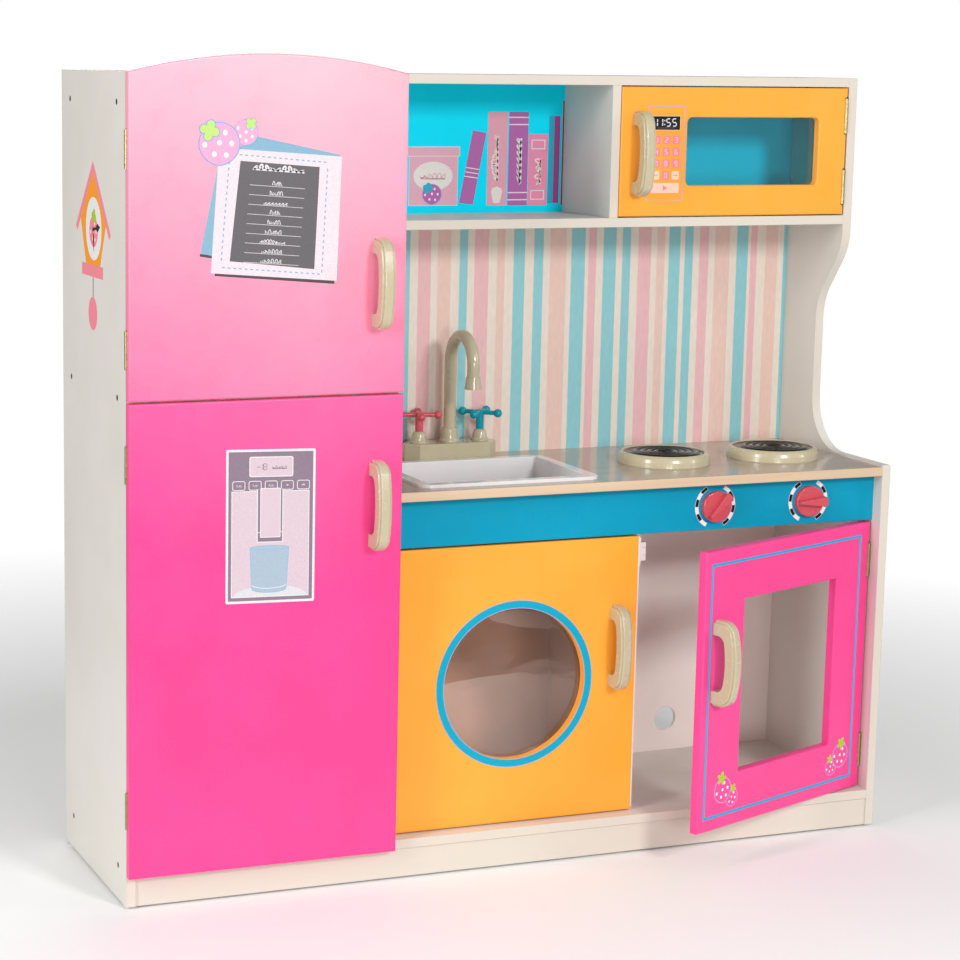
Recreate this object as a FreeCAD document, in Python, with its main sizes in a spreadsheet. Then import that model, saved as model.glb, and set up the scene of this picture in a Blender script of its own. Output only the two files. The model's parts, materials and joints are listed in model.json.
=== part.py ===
import FreeCAD
import Part
import Sketcher
import math
import os
from FreeCAD import Placement, Rotation, Vector

# Toy kitchen: a fridge cupboard on the left, a worktop with sink and hob on the right, two low
# compartments with doors under it and a shelf with a microwave cupboard above it.
# Frame: +X to the viewer's right, the fronts face -Y, +Z up. The origin is on the floor, in the
# middle of the width, on the plane of the rear edges that stand against a wall. Millimetres.

doc = FreeCAD.newDocument("toy_kitchen")
sheet = doc.addObject("Spreadsheet::Sheet", "sizes")


# ---------------------------------------------------------------- driving dimensions

class Size:
    """A number together with the spreadsheet expression that gives it."""

    def __init__(self, value, text):
        self.value = float(value)
        self.text = text

    @staticmethod
    def of(other):
        return other if isinstance(other, Size) else Size(other, repr(float(other)))

    def __add__(self, other):
        other = Size.of(other)
        return Size(self.value + other.value, "(" + self.text + " + " + other.text + ")")

    def __radd__(self, other):
        return Size.of(other) + self

    def __sub__(self, other):
        other = Size.of(other)
        return Size(self.value - other.value, "(" + self.text + " - " + other.text + ")")

    def __rsub__(self, other):
        return Size.of(other) - self

    def __mul__(self, other):
        other = Size.of(other)
        return Size(self.value * other.value, "(" + self.text + " * " + other.text + ")")

    def __rmul__(self, other):
        return Size.of(other) * self

    def __truediv__(self, other):
        other = Size.of(other)
        return Size(self.value / other.value, "(" + self.text + " / " + other.text + ")")

    def __neg__(self):
        return Size(-self.value, "(0 - " + self.text + ")")


row_count = 0


def size(alias, number):
    """Write one driving dimension into the sheet and return it."""
    global row_count
    row_count += 1
    cell = "B" + str(row_count)
    sheet.set("A" + str(row_count), alias)
    sheet.set(cell, str(number))
    sheet.setAlias(cell, alias)
    return Size(number, "sizes." + alias)


# cabinet
overall_width = size("overall_width", 1050)
cabinet_depth = size("cabinet_depth", 284)
cabinet_height = size("cabinet_height", 1000)
board = size("board", 12)
glide_height = size("glide_height", 3)
base_height = size("base_height", 40)
plinth_setback = size("plinth_setback", 2)
fridge_width = size("fridge_width", 346)
counter_height = size("counter_height", 494)
front_setback = size("front_setback", 19)
fascia_bottom = size("fascia_bottom", 420)
divider_offset = size("divider_offset", 686)
hutch_setback = size("hutch_setback", 123)
hutch_shelf_underside = size("hutch_shelf_underside", 806)
fridge_shelf_underside = size("fridge_shelf_underside", 614)
fridge_top_underside = size("fridge_top_underside", 959)
back_thickness = size("back_thickness", 6)
back_inset = size("back_inset", 16)
cable_hole_radius = size("cable_hole_radius", 17)
cable_hole_from_left = size("cable_hole_from_left", 871)
cable_hole_height = size("cable_hole_height", 98)

# curved front edge of the right side panel
waist_setback = size("waist_setback", 180)
waist_top = size("waist_top", 680)
shoulder_bottom = size("shoulder_bottom", 795)
waist_curve_radius = size("waist_curve_radius", 72)
foot_curve_radius = size("foot_curve_radius", 70)
curve_inset = size("curve_inset", 20)
panel_upstand = size("panel_upstand", 2)
panel_nose_radius = size("panel_nose_radius", 3)

# doors
door_board = size("door_board", 12)
door_edge_radius = size("door_edge_radius", 2)
overlay_gap = size("overlay_gap", 1.5)
fridge_door_width = size("fridge_door_width", 345.5)
lower_fridge_bottom = size("lower_fridge_bottom", 42)
fridge_door_split = size("fridge_door_split", 618)
fridge_door_gap = size("fridge_door_gap", 2.7)
upper_fridge_corner = size("upper_fridge_corner", 1000.5)
arch_rise = size("arch_rise", 21.5)
low_door_width = size("low_door_width", 342.5)
low_door_bottom = size("low_door_bottom", 53.4)
low_door_top = size("low_door_top", 417.6)
microwave_door_width = size("microwave_door_width", 337.4)
microwave_door_bottom = size("microwave_door_bottom", 819.4)
microwave_door_top = size("microwave_door_top", 986.6)
oven_opening_angle = size("oven_opening_angle", 21.75)
porthole_radius = size("porthole_radius", 98.5)
oven_window_left = size("oven_window_left", 79.2)
oven_window_width = size("oven_window_width", 193)
oven_window_sill = size("oven_window_sill", 123)
oven_window_height = size("oven_window_height", 226)
microwave_window_left = size("microwave_window_left", 97.2)
microwave_window_width = size("microwave_window_width", 198)
microwave_window_sill = size("microwave_window_sill", 859)
microwave_window_height = size("microwave_window_height", 88.5)
microwave_window_radius = size("microwave_window_radius", 7)
film_thickness = size("film_thickness", 0.8)
film_margin = size("film_margin", 10)

# butt hinges: knuckles stand in a notch in the door, both leaves lie against a face
hinge_length = size("hinge_length", 45)
knuckle_radius = size("knuckle_radius", 2.7)
knuckle_bore = size("knuckle_bore", 1.05)
pin_radius = size("pin_radius", 1.0)
leaf_thickness = size("leaf_thickness", 0.7)
leaf_reach = size("leaf_reach", 11)
leaf_start = size("leaf_start", 2.6)
axis_inset = size("axis_inset", 0.5)
knuckle_gap = size("knuckle_gap", 0.3)

# bow handles
handle_height = size("handle_height", 110)
handle_reach = size("handle_reach", 36)
handle_shoulder = size("handle_shoulder", 20)
handle_curve = size("handle_curve", 160)
handle_width = size("handle_width", 17)
handle_ridge_width = size("handle_ridge_width", 11.5)
handle_ridge_rise = size("handle_ridge_rise", 3)
handle_foot = size("handle_foot", 19)
handle_clearance = size("handle_clearance", 20)
handle_gap_corner = size("handle_gap_corner", 11)

# sink, tap and hob
sink_centre_from_left = size("sink_centre_from_left", 511)
sink_front = size("sink_front", 21)
sink_width = size("sink_width", 250)
sink_depth = size("sink_depth", 184)
sink_rim_width = size("sink_rim_width", 15)
sink_rim_thickness = size("sink_rim_thickness", 4)
sink_bowl_depth = size("sink_bowl_depth", 64)
sink_wall = size("sink_wall", 2.5)
sink_corner_radius = size("sink_corner_radius", 19)
tap_centre_from_left = size("tap_centre_from_left", 512.7)
tap_setback = size("tap_setback", 228)
tap_spacing = size("tap_spacing", 44)
deck_length = size("deck_length", 131)
deck_width = size("deck_width", 40)
deck_height = size("deck_height", 23.5)
deck_corner = size("deck_corner", 15)
spout_radius = size("spout_radius", 8.25)
spout_reach = size("spout_reach", 73)
spout_arc_height = size("spout_arc_height", 626)
hob_centre_from_left = size("hob_centre_from_left", 859)
burner_spacing = size("burner_spacing", 82.75)
burner_setback = size("burner_setback", 120)
burner_radius = size("burner_radius", 61.2)
burner_height = size("burner_height", 15.5)
coil_radius = size("coil_radius", 52)
coil_thickness = size("coil_thickness", 3.5)
knobs_centre_from_left = size("knobs_centre_from_left", 868.5)
knob_spacing = size("knob_spacing", 69.5)
knob_height = size("knob_height", 451)
knob_radius = size("knob_radius", 20.5)
knob_disc = size("knob_disc", 7)
knob_grip = size("knob_grip", 9)
left_knob_angle = size("left_knob_angle", -45)
right_knob_angle = size("right_knob_angle", 0)
knob_shaft_radius = size("knob_shaft_radius", 3)
running_clearance = size("running_clearance", 0.3)
doc.recompute()

left = -overall_width / 2
right = overall_width / 2
front = -cabinet_depth
board_floor = base_height + board
hutch_front = front + hutch_setback
low_front = front + front_setback
low_back = low_front + door_board
back_face = -back_inset - back_thickness
fridge_inner = left + fridge_width - board
kitchen_left = left + fridge_width
kitchen_right = right - board
divider_left = left + divider_offset
divider_right = divider_left + board
fridge_door_back = front - overlay_gap


# ---------------------------------------------------------------- helpers

def root(number):
    """A square root that stays driven."""
    return Size(math.sqrt(number.value), "sqrt(" + number.text + ")")


def bind(thing, path, number):
    """Drive one property from the sheet."""
    thing.setExpression(path, Size.of(number).text)


def place(thing, x, y, z):
    bind(thing, "Placement.Base.x", x)
    bind(thing, "Placement.Base.y", y)
    bind(thing, "Placement.Base.z", z)


def place_on_oven_door(thing, x, y, z):
    """Place a piece given where it is with the oven door shut, swung with the open door."""
    angle = math.radians(oven_opening_angle.value)
    turn_cos = Size(math.cos(angle), "cos(" + oven_opening_angle.text + ")")
    turn_sin = Size(math.sin(angle), "sin(" + oven_opening_angle.text + ")")
    across = x - oven_axis_x
    inward = y - low_axis_y
    place(thing, oven_axis_x + across * turn_cos - inward * turn_sin,
          low_axis_y + across * turn_sin + inward * turn_cos, z)
    bind(thing, "Placement.Rotation.Angle", oven_opening_angle)


def box(label, x, y, z, length, width, height):
    """A plain board, as a Part::Box with its low corner at x, y, z."""
    piece = doc.addObject("Part::Box", label)
    piece.Label = label
    bind(piece, "Length", length)
    bind(piece, "Width", width)
    bind(piece, "Height", height)
    place(piece, x, y, z)
    return piece


def cylinder(label, x, y, z, radius, height):
    piece = doc.addObject("Part::Cylinder", label)
    piece.Label = label
    bind(piece, "Radius", radius)
    bind(piece, "Height", height)
    place(piece, x, y, z)
    return piece


def body(label):
    piece = doc.addObject("PartDesign::Body", label)
    piece.Label = label
    return piece


def sketch(owner, role, name, offset=None):
    """A sketch on one of the body's own origin planes, or parallel to it."""
    plane = [part for part in owner.Origin.OriginFeatures if part.Role == role][0]
    drawing = owner.newObject("Sketcher::SketchObject", name)
    drawing.AttachmentSupport = [(plane, "")]
    drawing.MapMode = "FlatFace"
    if offset is not None:
        bind(drawing, "AttachmentOffset.Base.z", offset)
    return drawing


def pin_point(drawing, geometry, position, x, y):
    """Fix a sketch point's coordinates with driven constraints."""
    for axis, kind, number in ((-2, "DistanceX", Size.of(x)), (-1, "DistanceY", Size.of(y))):
        if abs(number.value) < 1e-9:
            drawing.addConstraint(Sketcher.Constraint("PointOnObject", geometry, position, axis))
            continue
        index = drawing.addConstraint(Sketcher.Constraint(kind, geometry, position, number.value))
        bind(drawing, "Constraints[" + str(index) + "]", number)


def polygon(drawing, points):
    """Draw a closed outline of straight lines through driven points."""
    first = drawing.GeometryCount
    count = len(points)
    flat = [Vector(Size.of(x).value, Size.of(y).value, 0) for x, y in points]
    for index in range(count):
        drawing.addGeometry(Part.LineSegment(flat[index], flat[(index + 1) % count]), False)
    for index in range(count):
        after = first + (index + 1) % count
        drawing.addConstraint(Sketcher.Constraint("Coincident", first + index, 2, after, 1))
    for index, (x, y) in enumerate(points):
        pin_point(drawing, first + index, 1, x, y)


def rectangle(drawing, x, y, length, height):
    polygon(drawing, [(x, y), (x + length, y), (x + length, y + height), (x, y + height)])


def direction(first, second):
    """Unit steps from one corner to the next, along an axis."""
    steps = []
    for start, end in zip(first[:2], second[:2]):
        change = Size.of(end).value - Size.of(start).value
        steps.append((change > 1e-6) - (change < -1e-6))
    return steps


def outline(drawing, spots, bends):
    """A closed outline through driven points; bends gives the run after a point that is an arc.

    Each bend is an arc's radius and a point on it, by the number of the point it leaves from.
    """
    first = drawing.GeometryCount
    flat = [Vector(Size.of(x).value, Size.of(y).value, 0) for x, y in spots]
    ends = []
    for index, start in enumerate(flat):
        end = flat[(index + 1) % len(flat)]
        piece = Part.LineSegment(start, end)
        if index in bends:
            piece = Part.Arc(start, bends[index][1], end)
        number = drawing.addGeometry(piece, False)
        # an arc keeps its own sense, so which end is its start is looked up
        at_start = drawing.getPoint(number, 1).distanceToPoint(start) < 1e-6
        ends.append((1, 2) if at_start else (2, 1))
    for index in range(len(flat)):
        after = (index + 1) % len(flat)
        drawing.addConstraint(Sketcher.Constraint("Coincident", first + index, ends[index][1],
                                                  first + after, ends[after][0]))
    for index, (x, y) in enumerate(spots):
        pin_point(drawing, first + index, ends[index][0], x, y)
    for index, (radius, middle) in bends.items():
        mark = drawing.addConstraint(Sketcher.Constraint("Radius", first + index, radius.value))
        bind(drawing, "Constraints[" + str(mark) + "]", radius)


def rounded(drawing, corners):
    """A closed outline of right-angled corners (x, y, radius); radius 0 leaves a corner sharp."""
    spots = []
    bends = {}
    count = len(corners)
    for index, (x, y, radius) in enumerate(corners):
        x, y, radius = Size.of(x), Size.of(y), Size.of(radius)
        if radius.value == 0:
            spots.append((x, y))
            continue
        came = direction(corners[index - 1], corners[index])
        goes = direction(corners[index], corners[(index + 1) % count])
        inset = radius.value * (1 - 0.5 ** 0.5)
        middle = Vector(x.value + (goes[0] - came[0]) * inset, y.value + (goes[1] - came[1]) * inset, 0)
        bends[len(spots)] = (radius, middle)
        spots.append((x - radius * came[0], y - radius * came[1]))
        spots.append((x + radius * goes[0], y + radius * goes[1]))
    outline(drawing, spots, bends)


def rounded_rectangle(drawing, x, y, length, height, radius):
    rounded(drawing, [(x, y, radius), (x + length, y, radius), (x + length, y + height, radius),
                      (x, y + height, radius)])


def circle(drawing, x, y, radius):
    spot = Vector(Size.of(x).value, Size.of(y).value, 0)
    number = drawing.addGeometry(Part.Circle(spot, Vector(0, 0, 1), Size.of(radius).value), False)
    pin_point(drawing, number, 3, x, y)
    index = drawing.addConstraint(Sketcher.Constraint("Radius", number, Size.of(radius).value))
    bind(drawing, "Constraints[" + str(index) + "]", radius)


def pad(owner, drawing, name, length, midplane=False):
    feature = owner.newObject("PartDesign::Pad", name)
    feature.Profile = drawing
    bind(feature, "Length", length)
    feature.Midplane = midplane
    doc.recompute()
    return feature


def cut(owner, drawing, name, depth=None, flip=False):
    """A pocket, right through when no depth is given. It must remove material."""
    before = owner.Shape.Volume
    feature = owner.newObject("PartDesign::Pocket", name)
    feature.Profile = drawing
    if depth is None:
        feature.Type = "ThroughAll"
        feature.Midplane = True
    else:
        bind(feature, "Length", depth)
        feature.Reversed = flip
    doc.recompute()
    if not owner.Shape.Volume < before - 1e-3:
        raise ValueError(owner.Label + ": " + name + " cut nothing")
    return feature


def round_edges(owner, name, radius, chosen):
    """Fillet the tip's edges that the test picks."""
    base = owner.Tip
    names = []
    for index, edge in enumerate(base.Shape.Edges):
        if chosen(edge):
            names.append("Edge" + str(index + 1))
    if not names:
        raise ValueError(owner.Label + ": no edges for " + name)
    feature = owner.newObject("PartDesign::Fillet", name)
    feature.Base = (base, names)
    bind(feature, "Radius", radius)
    doc.recompute()
    return feature


def lies_at(axis, level):
    """A test for edges that lie wholly in one plane, such as y = -12."""
    level = Size.of(level).value

    def test(edge):
        limits = edge.BoundBox
        low = {"x": limits.XMin, "y": limits.YMin, "z": limits.ZMin}[axis]
        high = {"x": limits.XMax, "y": limits.YMax, "z": limits.ZMax}[axis]
        return abs(low - level) < 1e-4 and abs(high - level) < 1e-4
    return test


def runs_along(axis, spots):
    """A test for straight edges along an axis that pass through one of the given points."""
    wanted = [tuple(Size.of(value).value for value in spot) for spot in spots]

    def test(edge):
        limits = edge.BoundBox
        lows = {"x": limits.XMin, "y": limits.YMin, "z": limits.ZMin}
        highs = {"x": limits.XMax, "y": limits.YMax, "z": limits.ZMax}
        others = [name for name in "xyz" if name != axis]
        if highs[axis] - lows[axis] < 0.5:
            return False
        if any(highs[name] - lows[name] > 1e-4 for name in others):
            return False
        return any(all(abs(lows[name] - spot[index]) < 1e-3 for index, name in enumerate(others))
                   for spot in wanted)
    return test


def fuse(label, pieces):
    whole = doc.addObject("Part::MultiFuse", label)
    whole.Label = label
    whole.Shapes = pieces
    return whole


def subtract(label, base, tool):
    rest = doc.addObject("Part::Cut", label)
    rest.Label = label
    rest.Base = base
    rest.Tool = tool
    return rest


def copies(label, shapes):
    """A node that is a group of equal loose pieces."""
    group = doc.addObject("Part::Feature", label)
    group.Label = label
    group.Shape = Part.makeCompound(shapes)
    return group


nodes = []


def keep(*pieces):
    nodes.extend(pieces)


# ---------------------------------------------------------------- assembly screws of the side panels

SCREW_HEAD_RADIUS = 3.5
SCREW_HEAD_DEPTH = 2.5
SCREW_SHANK_RADIUS = 2.0
SCREW_LENGTH = 34.0
LOW_SCREW_SETBACKS = (36, 244)
HIGH_SCREW_SETBACKS = (160, 248)


def screw_shape(spot, direction):
    """A countersunk-flush furniture screw: flat head, then a plain shank."""
    head = Part.makeCylinder(SCREW_HEAD_RADIUS, SCREW_HEAD_DEPTH, spot, direction)
    shank = Part.makeCylinder(SCREW_SHANK_RADIUS, SCREW_LENGTH, spot, direction)
    return head.fuse(shank).removeSplitter()


half_board = board / 2
left_screw_heights = [base_height + half_board, fridge_shelf_underside + half_board,
                      fridge_top_underside + half_board]
right_screw_rows = [(base_height + half_board, LOW_SCREW_SETBACKS),
                    (counter_height - half_board, LOW_SCREW_SETBACKS),
                    (hutch_shelf_underside + half_board, HIGH_SCREW_SETBACKS),
                    (cabinet_height - half_board, HIGH_SCREW_SETBACKS)]
left_screws = []
for height in left_screw_heights:
    for setback in LOW_SCREW_SETBACKS:
        spot = Vector(left.value, front.value + setback, height.value)
        left_screws.append(screw_shape(spot, Vector(1, 0, 0)))
right_screws = []
for height, setbacks in right_screw_rows:
    for setback in setbacks:
        spot = Vector(right.value, front.value + setback, height.value)
        right_screws.append(screw_shape(spot, Vector(-1, 0, 0)))
panel_screws = copies("panel_screws", left_screws + right_screws)
keep(panel_screws)


def screwed(label, raw):
    """The same board with its screw holes."""
    raw.Label = label + "_blank"
    return subtract(label, raw, panel_screws)


# ---------------------------------------------------------------- cabinet boards

COUNTERTOP_ROUNDING = 2.0
FASCIA_ROUNDING = 1.0
SINK_CLEARANCE = 1.0
SHAFT_CLEARANCE = 0.1
DOOR_CLEARANCE = 0.5

panel_height = cabinet_height - glide_height
inner_width = overall_width - 2 * board
shelf_depth = cabinet_depth - back_inset - back_thickness
kitchen_width = kitchen_right - kitchen_left

keep(screwed("left_side_panel",
             box("left_panel_box", left, front, glide_height, board, cabinet_depth, panel_height)))
keep(screwed("bottom_board",
             box("bottom_board_box", left + board, front, base_height,
                 inner_width, cabinet_depth, board)))
keep(box("front_plinth", left + board, front + plinth_setback, glide_height,
         inner_width, board, base_height - glide_height))
keep(box("rear_rail", left + board, -board, glide_height,
         inner_width, board, base_height - glide_height))
keep(box("fridge_side_panel", fridge_inner, front, board_floor,
         board, cabinet_depth, cabinet_height - board_floor))
fridge_inner_width = fridge_width - 2 * board
keep(screwed("fridge_middle_shelf",
             box("fridge_shelf_box", left + board, front, fridge_shelf_underside,
                 fridge_inner_width, shelf_depth, board)))
keep(screwed("fridge_top_board",
             box("fridge_top_box", left + board, front, fridge_top_underside,
                 fridge_inner_width, shelf_depth, board)))
keep(box("fridge_back_panel", left + board, back_face, board_floor,
         fridge_inner_width, back_thickness, cabinet_height - board_floor))
divider_front = low_back + DOOR_CLEARANCE
keep(box("middle_divider", divider_left, divider_front, board_floor,
         board, back_face - divider_front, counter_height - board - board_floor))
keep(screwed("hutch_shelf",
             box("hutch_shelf_box", kitchen_left, hutch_front, hutch_shelf_underside,
                 kitchen_width, shelf_depth - hutch_setback, board)))
keep(screwed("hutch_top_board",
             box("hutch_top_box", kitchen_left, hutch_front, cabinet_height - board,
                 kitchen_width, shelf_depth - hutch_setback, board)))
hutch_floor = hutch_shelf_underside + board
keep(box("hutch_divider", divider_left, hutch_front, hutch_floor,
         board, shelf_depth - hutch_setback, cabinet_height - board - hutch_floor))
seam_low = counter_height - board
seam_high = hutch_shelf_underside + board / 2
keep(box("backsplash_panel", kitchen_left, back_face, seam_low,
         kitchen_width, back_thickness, seam_high - seam_low))
keep(box("hutch_back_panel", kitchen_left, back_face, seam_high,
         kitchen_width, back_thickness, cabinet_height - seam_high))


def make_lower_back_panel():
    """The back of the two low compartments, with a round hole near the floor."""
    panel = body("lower_back_panel")
    outline = sketch(panel, "XZ_Plane", "lower_back_outline")
    rectangle(outline, 0, 0, kitchen_width, seam_low - board_floor)
    pad(panel, outline, "lower_back_pad", back_thickness)
    hole = sketch(panel, "XZ_Plane", "lower_back_hole")
    circle(hole, cable_hole_from_left - fridge_width, cable_hole_height - board_floor, cable_hole_radius)
    cut(panel, hole, "lower_back_pocket")
    place(panel, kitchen_left, back_face + back_thickness, board_floor)
    return panel


def make_right_side_panel():
    """The right side: deep below the worktop, waisted above it, then forward to the shelf."""
    panel = body("right_panel_body")
    outline = sketch(panel, "YZ_Plane", "right_panel_outline")
    step = counter_height + panel_upstand - glide_height
    shoulder = shoulder_bottom - glide_height - curve_inset
    waist = waist_top - glide_height + curve_inset
    polygon(outline, [
        (0, 0), (cabinet_depth, 0), (cabinet_depth, panel_height), (hutch_setback, panel_height),
        (hutch_setback, shoulder), (waist_setback, waist), (waist_setback, step), (0, step)])
    pad(panel, outline, "right_panel_pad", board)
    round_edges(panel, "shoulder_curves", waist_curve_radius,
                runs_along("x", [(hutch_setback, shoulder), (waist_setback, waist)]))
    round_edges(panel, "foot_curve", foot_curve_radius, runs_along("x", [(waist_setback, step)]))
    round_edges(panel, "front_nose", panel_nose_radius, runs_along("x", [(0, step)]))
    place(panel, kitchen_right, front, glide_height)
    return screwed("right_side_panel", panel)


def make_countertop():
    """The worktop with the sink's cut-out."""
    panel = body("countertop_body")
    outline = sketch(panel, "XY_Plane", "countertop_outline")
    rectangle(outline, 0, 0, kitchen_width, shelf_depth)
    pad(panel, outline, "countertop_pad", board)
    round_edges(panel, "countertop_nose", COUNTERTOP_ROUNDING,
                lambda edge: lies_at("y", 0)(edge) and lies_at("z", board)(edge))
    opening = sketch(panel, "XY_Plane", "sink_cutout")
    cut_margin = sink_rim_width - sink_wall - SINK_CLEARANCE
    x = sink_centre_from_left - fridge_width - sink_width / 2 + cut_margin
    y = sink_front + cut_margin
    length = sink_width - 2 * cut_margin
    width = sink_depth - 2 * cut_margin
    rounded_rectangle(opening, x, y, length, width, sink_corner_radius - cut_margin)
    cut(panel, opening, "sink_pocket")
    place(panel, kitchen_left, front, counter_height - board)
    return screwed("countertop", panel)


def make_fascia():
    """The strip under the worktop, with a hole for each knob's shaft."""
    panel = body("control_fascia")
    outline = sketch(panel, "XZ_Plane", "fascia_outline")
    rectangle(outline, 0, 0, kitchen_width, counter_height - board - fascia_bottom)
    pad(panel, outline, "fascia_pad", board)
    round_edges(panel, "fascia_edge", FASCIA_ROUNDING,
                lambda edge: lies_at("y", -board)(edge) and lies_at("z", 0)(edge))
    holes = sketch(panel, "XZ_Plane", "shaft_holes")
    for side in (-1, 1):
        circle(holes, knobs_centre_from_left - fridge_width + side * knob_spacing,
               knob_height - fascia_bottom, knob_shaft_radius + SHAFT_CLEARANCE)
    cut(panel, holes, "shaft_pockets")
    place(panel, kitchen_left, low_back, fascia_bottom)
    return panel


keep(make_lower_back_panel(), make_right_side_panel(), make_countertop(), make_fascia())

GLIDE_RADIUS = 5.8
GLIDE_ROUNDING = 1.5
GLIDE_FRONT_SETBACK = 14
GLIDE_REAR_SETBACK = 20
glide_shapes = []
for x in (left + board / 2, right - board / 2):
    for y in (front + GLIDE_FRONT_SETBACK, Size.of(-GLIDE_REAR_SETBACK)):
        foot = Part.makeCylinder(GLIDE_RADIUS, glide_height.value, Vector(x.value, y.value, 0))
        glide_shapes.append(foot.makeFillet(GLIDE_ROUNDING, [edge for edge in foot.Edges
                                                             if lies_at("z", 0)(edge)]))
keep(copies("floor_glides", glide_shapes))


# ---------------------------------------------------------------- hinges

leaf_face = knuckle_radius
fridge_axis_x = left + axis_inset
fridge_axis_y = front - leaf_face
low_axis_y = low_front + axis_inset
washer_axis_x = kitchen_left + leaf_face
oven_axis_x = kitchen_right - leaf_face
microwave_axis_y = hutch_front + axis_inset

KNUCKLE_COUNT = 7
TAB_OVERLAP = 0.4
PIN_HEAD_RADIUS = 1.7
PIN_HEAD_THICKNESS = 0.55
PIN_END = 0.6
hinge_heights = {
    "upper_fridge": (680, 912), "lower_fridge": (125, 545), "washer": (104, 366),
    "oven": (104, 366), "microwave": (856, 950)}


def leaf_shape(side, knuckles):
    """One hinge leaf about the Z axis: side +1 is the cabinet's leaf, -1 the door's leaf."""
    length = hinge_length.value
    radius = knuckle_radius.value
    thin = leaf_thickness.value
    pitch = length / KNUCKLE_COUNT
    low = radius - thin if side > 0 else -radius
    plate = Part.makeBox(leaf_reach.value - leaf_start.value, thin, length,
                         Vector(leaf_start.value, low, -length / 2))
    for index in knuckles:
        bottom = -length / 2 + index * pitch + knuckle_gap.value / 2
        tall = pitch - knuckle_gap.value
        barrel = Part.makeCylinder(radius, tall, Vector(0, 0, bottom))
        tab = Part.makeBox(leaf_start.value + TAB_OVERLAP, thin, tall, Vector(0, low, bottom))
        plate = plate.fuse(barrel).fuse(tab)
    bore = Part.makeCylinder(knuckle_bore.value, length + 2, Vector(0, 0, -length / 2 - 1))
    return plate.cut(bore).removeSplitter()


def pin_shape():
    """A hinge pin with a small peened head at each end."""
    length = hinge_length.value
    pin = Part.makeCylinder(pin_radius.value, length + 2 * PIN_END, Vector(0, 0, -length / 2 - PIN_END))
    for bottom in (-length / 2 - PIN_END, length / 2 + PIN_END - PIN_HEAD_THICKNESS):
        pin = pin.fuse(Part.makeCylinder(PIN_HEAD_RADIUS, PIN_HEAD_THICKNESS, Vector(0, 0, bottom)))
    return pin.removeSplitter()


cabinet_leaf = leaf_shape(1, range(0, KNUCKLE_COUNT, 2))
door_leaf = leaf_shape(-1, range(1, KNUCKLE_COUNT, 2))
hinge_pin = pin_shape()

facing_overlay = Rotation(Vector(0, 0, 1), 0)
facing_inset_left = Rotation(Vector(0, 0, 1), 90)
facing_inset_right = Rotation(Vector(1, 1, 0), 180)
door_swing = {"oven": Rotation(Vector(0, 0, 1), oven_opening_angle.value)}
hinge_axes = {
    "upper_fridge": (fridge_axis_x, fridge_axis_y, facing_overlay),
    "lower_fridge": (fridge_axis_x, fridge_axis_y, facing_overlay),
    "washer": (washer_axis_x, low_axis_y, facing_inset_left),
    "oven": (oven_axis_x, low_axis_y, facing_inset_right),
    "microwave": (oven_axis_x, microwave_axis_y, facing_inset_right)}


def moved(shape, door, height, swings):
    x, y, facing = hinge_axes[door]
    turn = facing
    if swings and door in door_swing:
        turn = door_swing[door].multiply(facing)
    return shape.transformed(Placement(Vector(x.value, y.value, height), turn).toMatrix())


keep(copies("hinge_cabinet_leaves", [moved(cabinet_leaf, door, height, False)
                                     for door in hinge_axes for height in hinge_heights[door]]))
keep(copies("hinge_pins", [moved(hinge_pin, door, height, False)
                           for door in hinge_axes for height in hinge_heights[door]]))
for door in hinge_axes:
    keep(copies(door + "_door_hinge_leaves",
                [moved(door_leaf, door, height, True) for height in hinge_heights[door]]))


# ---------------------------------------------------------------- doors

NOTCH_END_GAP = 1.2
NOTCH_FLARE = 2.5
NOTCH_SIDE_GAP = 0.8
OVERCUT = 1.0
notch_half = hinge_length / 2 + NOTCH_END_GAP
notch_depth = 2 * leaf_face - overlay_gap


def hinge_notches(door, door_name, edge_x, bottom, side):
    """Notches through the hinge edge of an inset door, with slanted ends. side: +1 left edge."""
    drawing = sketch(door, "XZ_Plane", door_name + "_notches")
    for height in hinge_heights[door_name]:
        middle = height - bottom
        low = middle - notch_half
        high = middle + notch_half
        outside = edge_x - side * OVERCUT
        inside = edge_x + side * notch_depth
        polygon(drawing, [(outside, low - NOTCH_FLARE), (inside, low), (inside, high), (outside, high + NOTCH_FLARE)])
    cut(door, drawing, door_name + "_notch_pockets")


def blind_notches(door, door_name, bottom):
    """Notches in the back of an overlay door for the knuckles and the leaf."""
    drawing = sketch(door, "XZ_Plane", door_name + "_notches")
    for height in hinge_heights[door_name]:
        middle = height - bottom
        low = middle - notch_half
        rectangle(drawing, -OVERCUT, low, OVERCUT + leaf_reach + axis_inset + NOTCH_SIDE_GAP,
                  2 * notch_half)
    cut(door, drawing, door_name + "_notch_pockets", notch_depth, flip=True)


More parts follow.
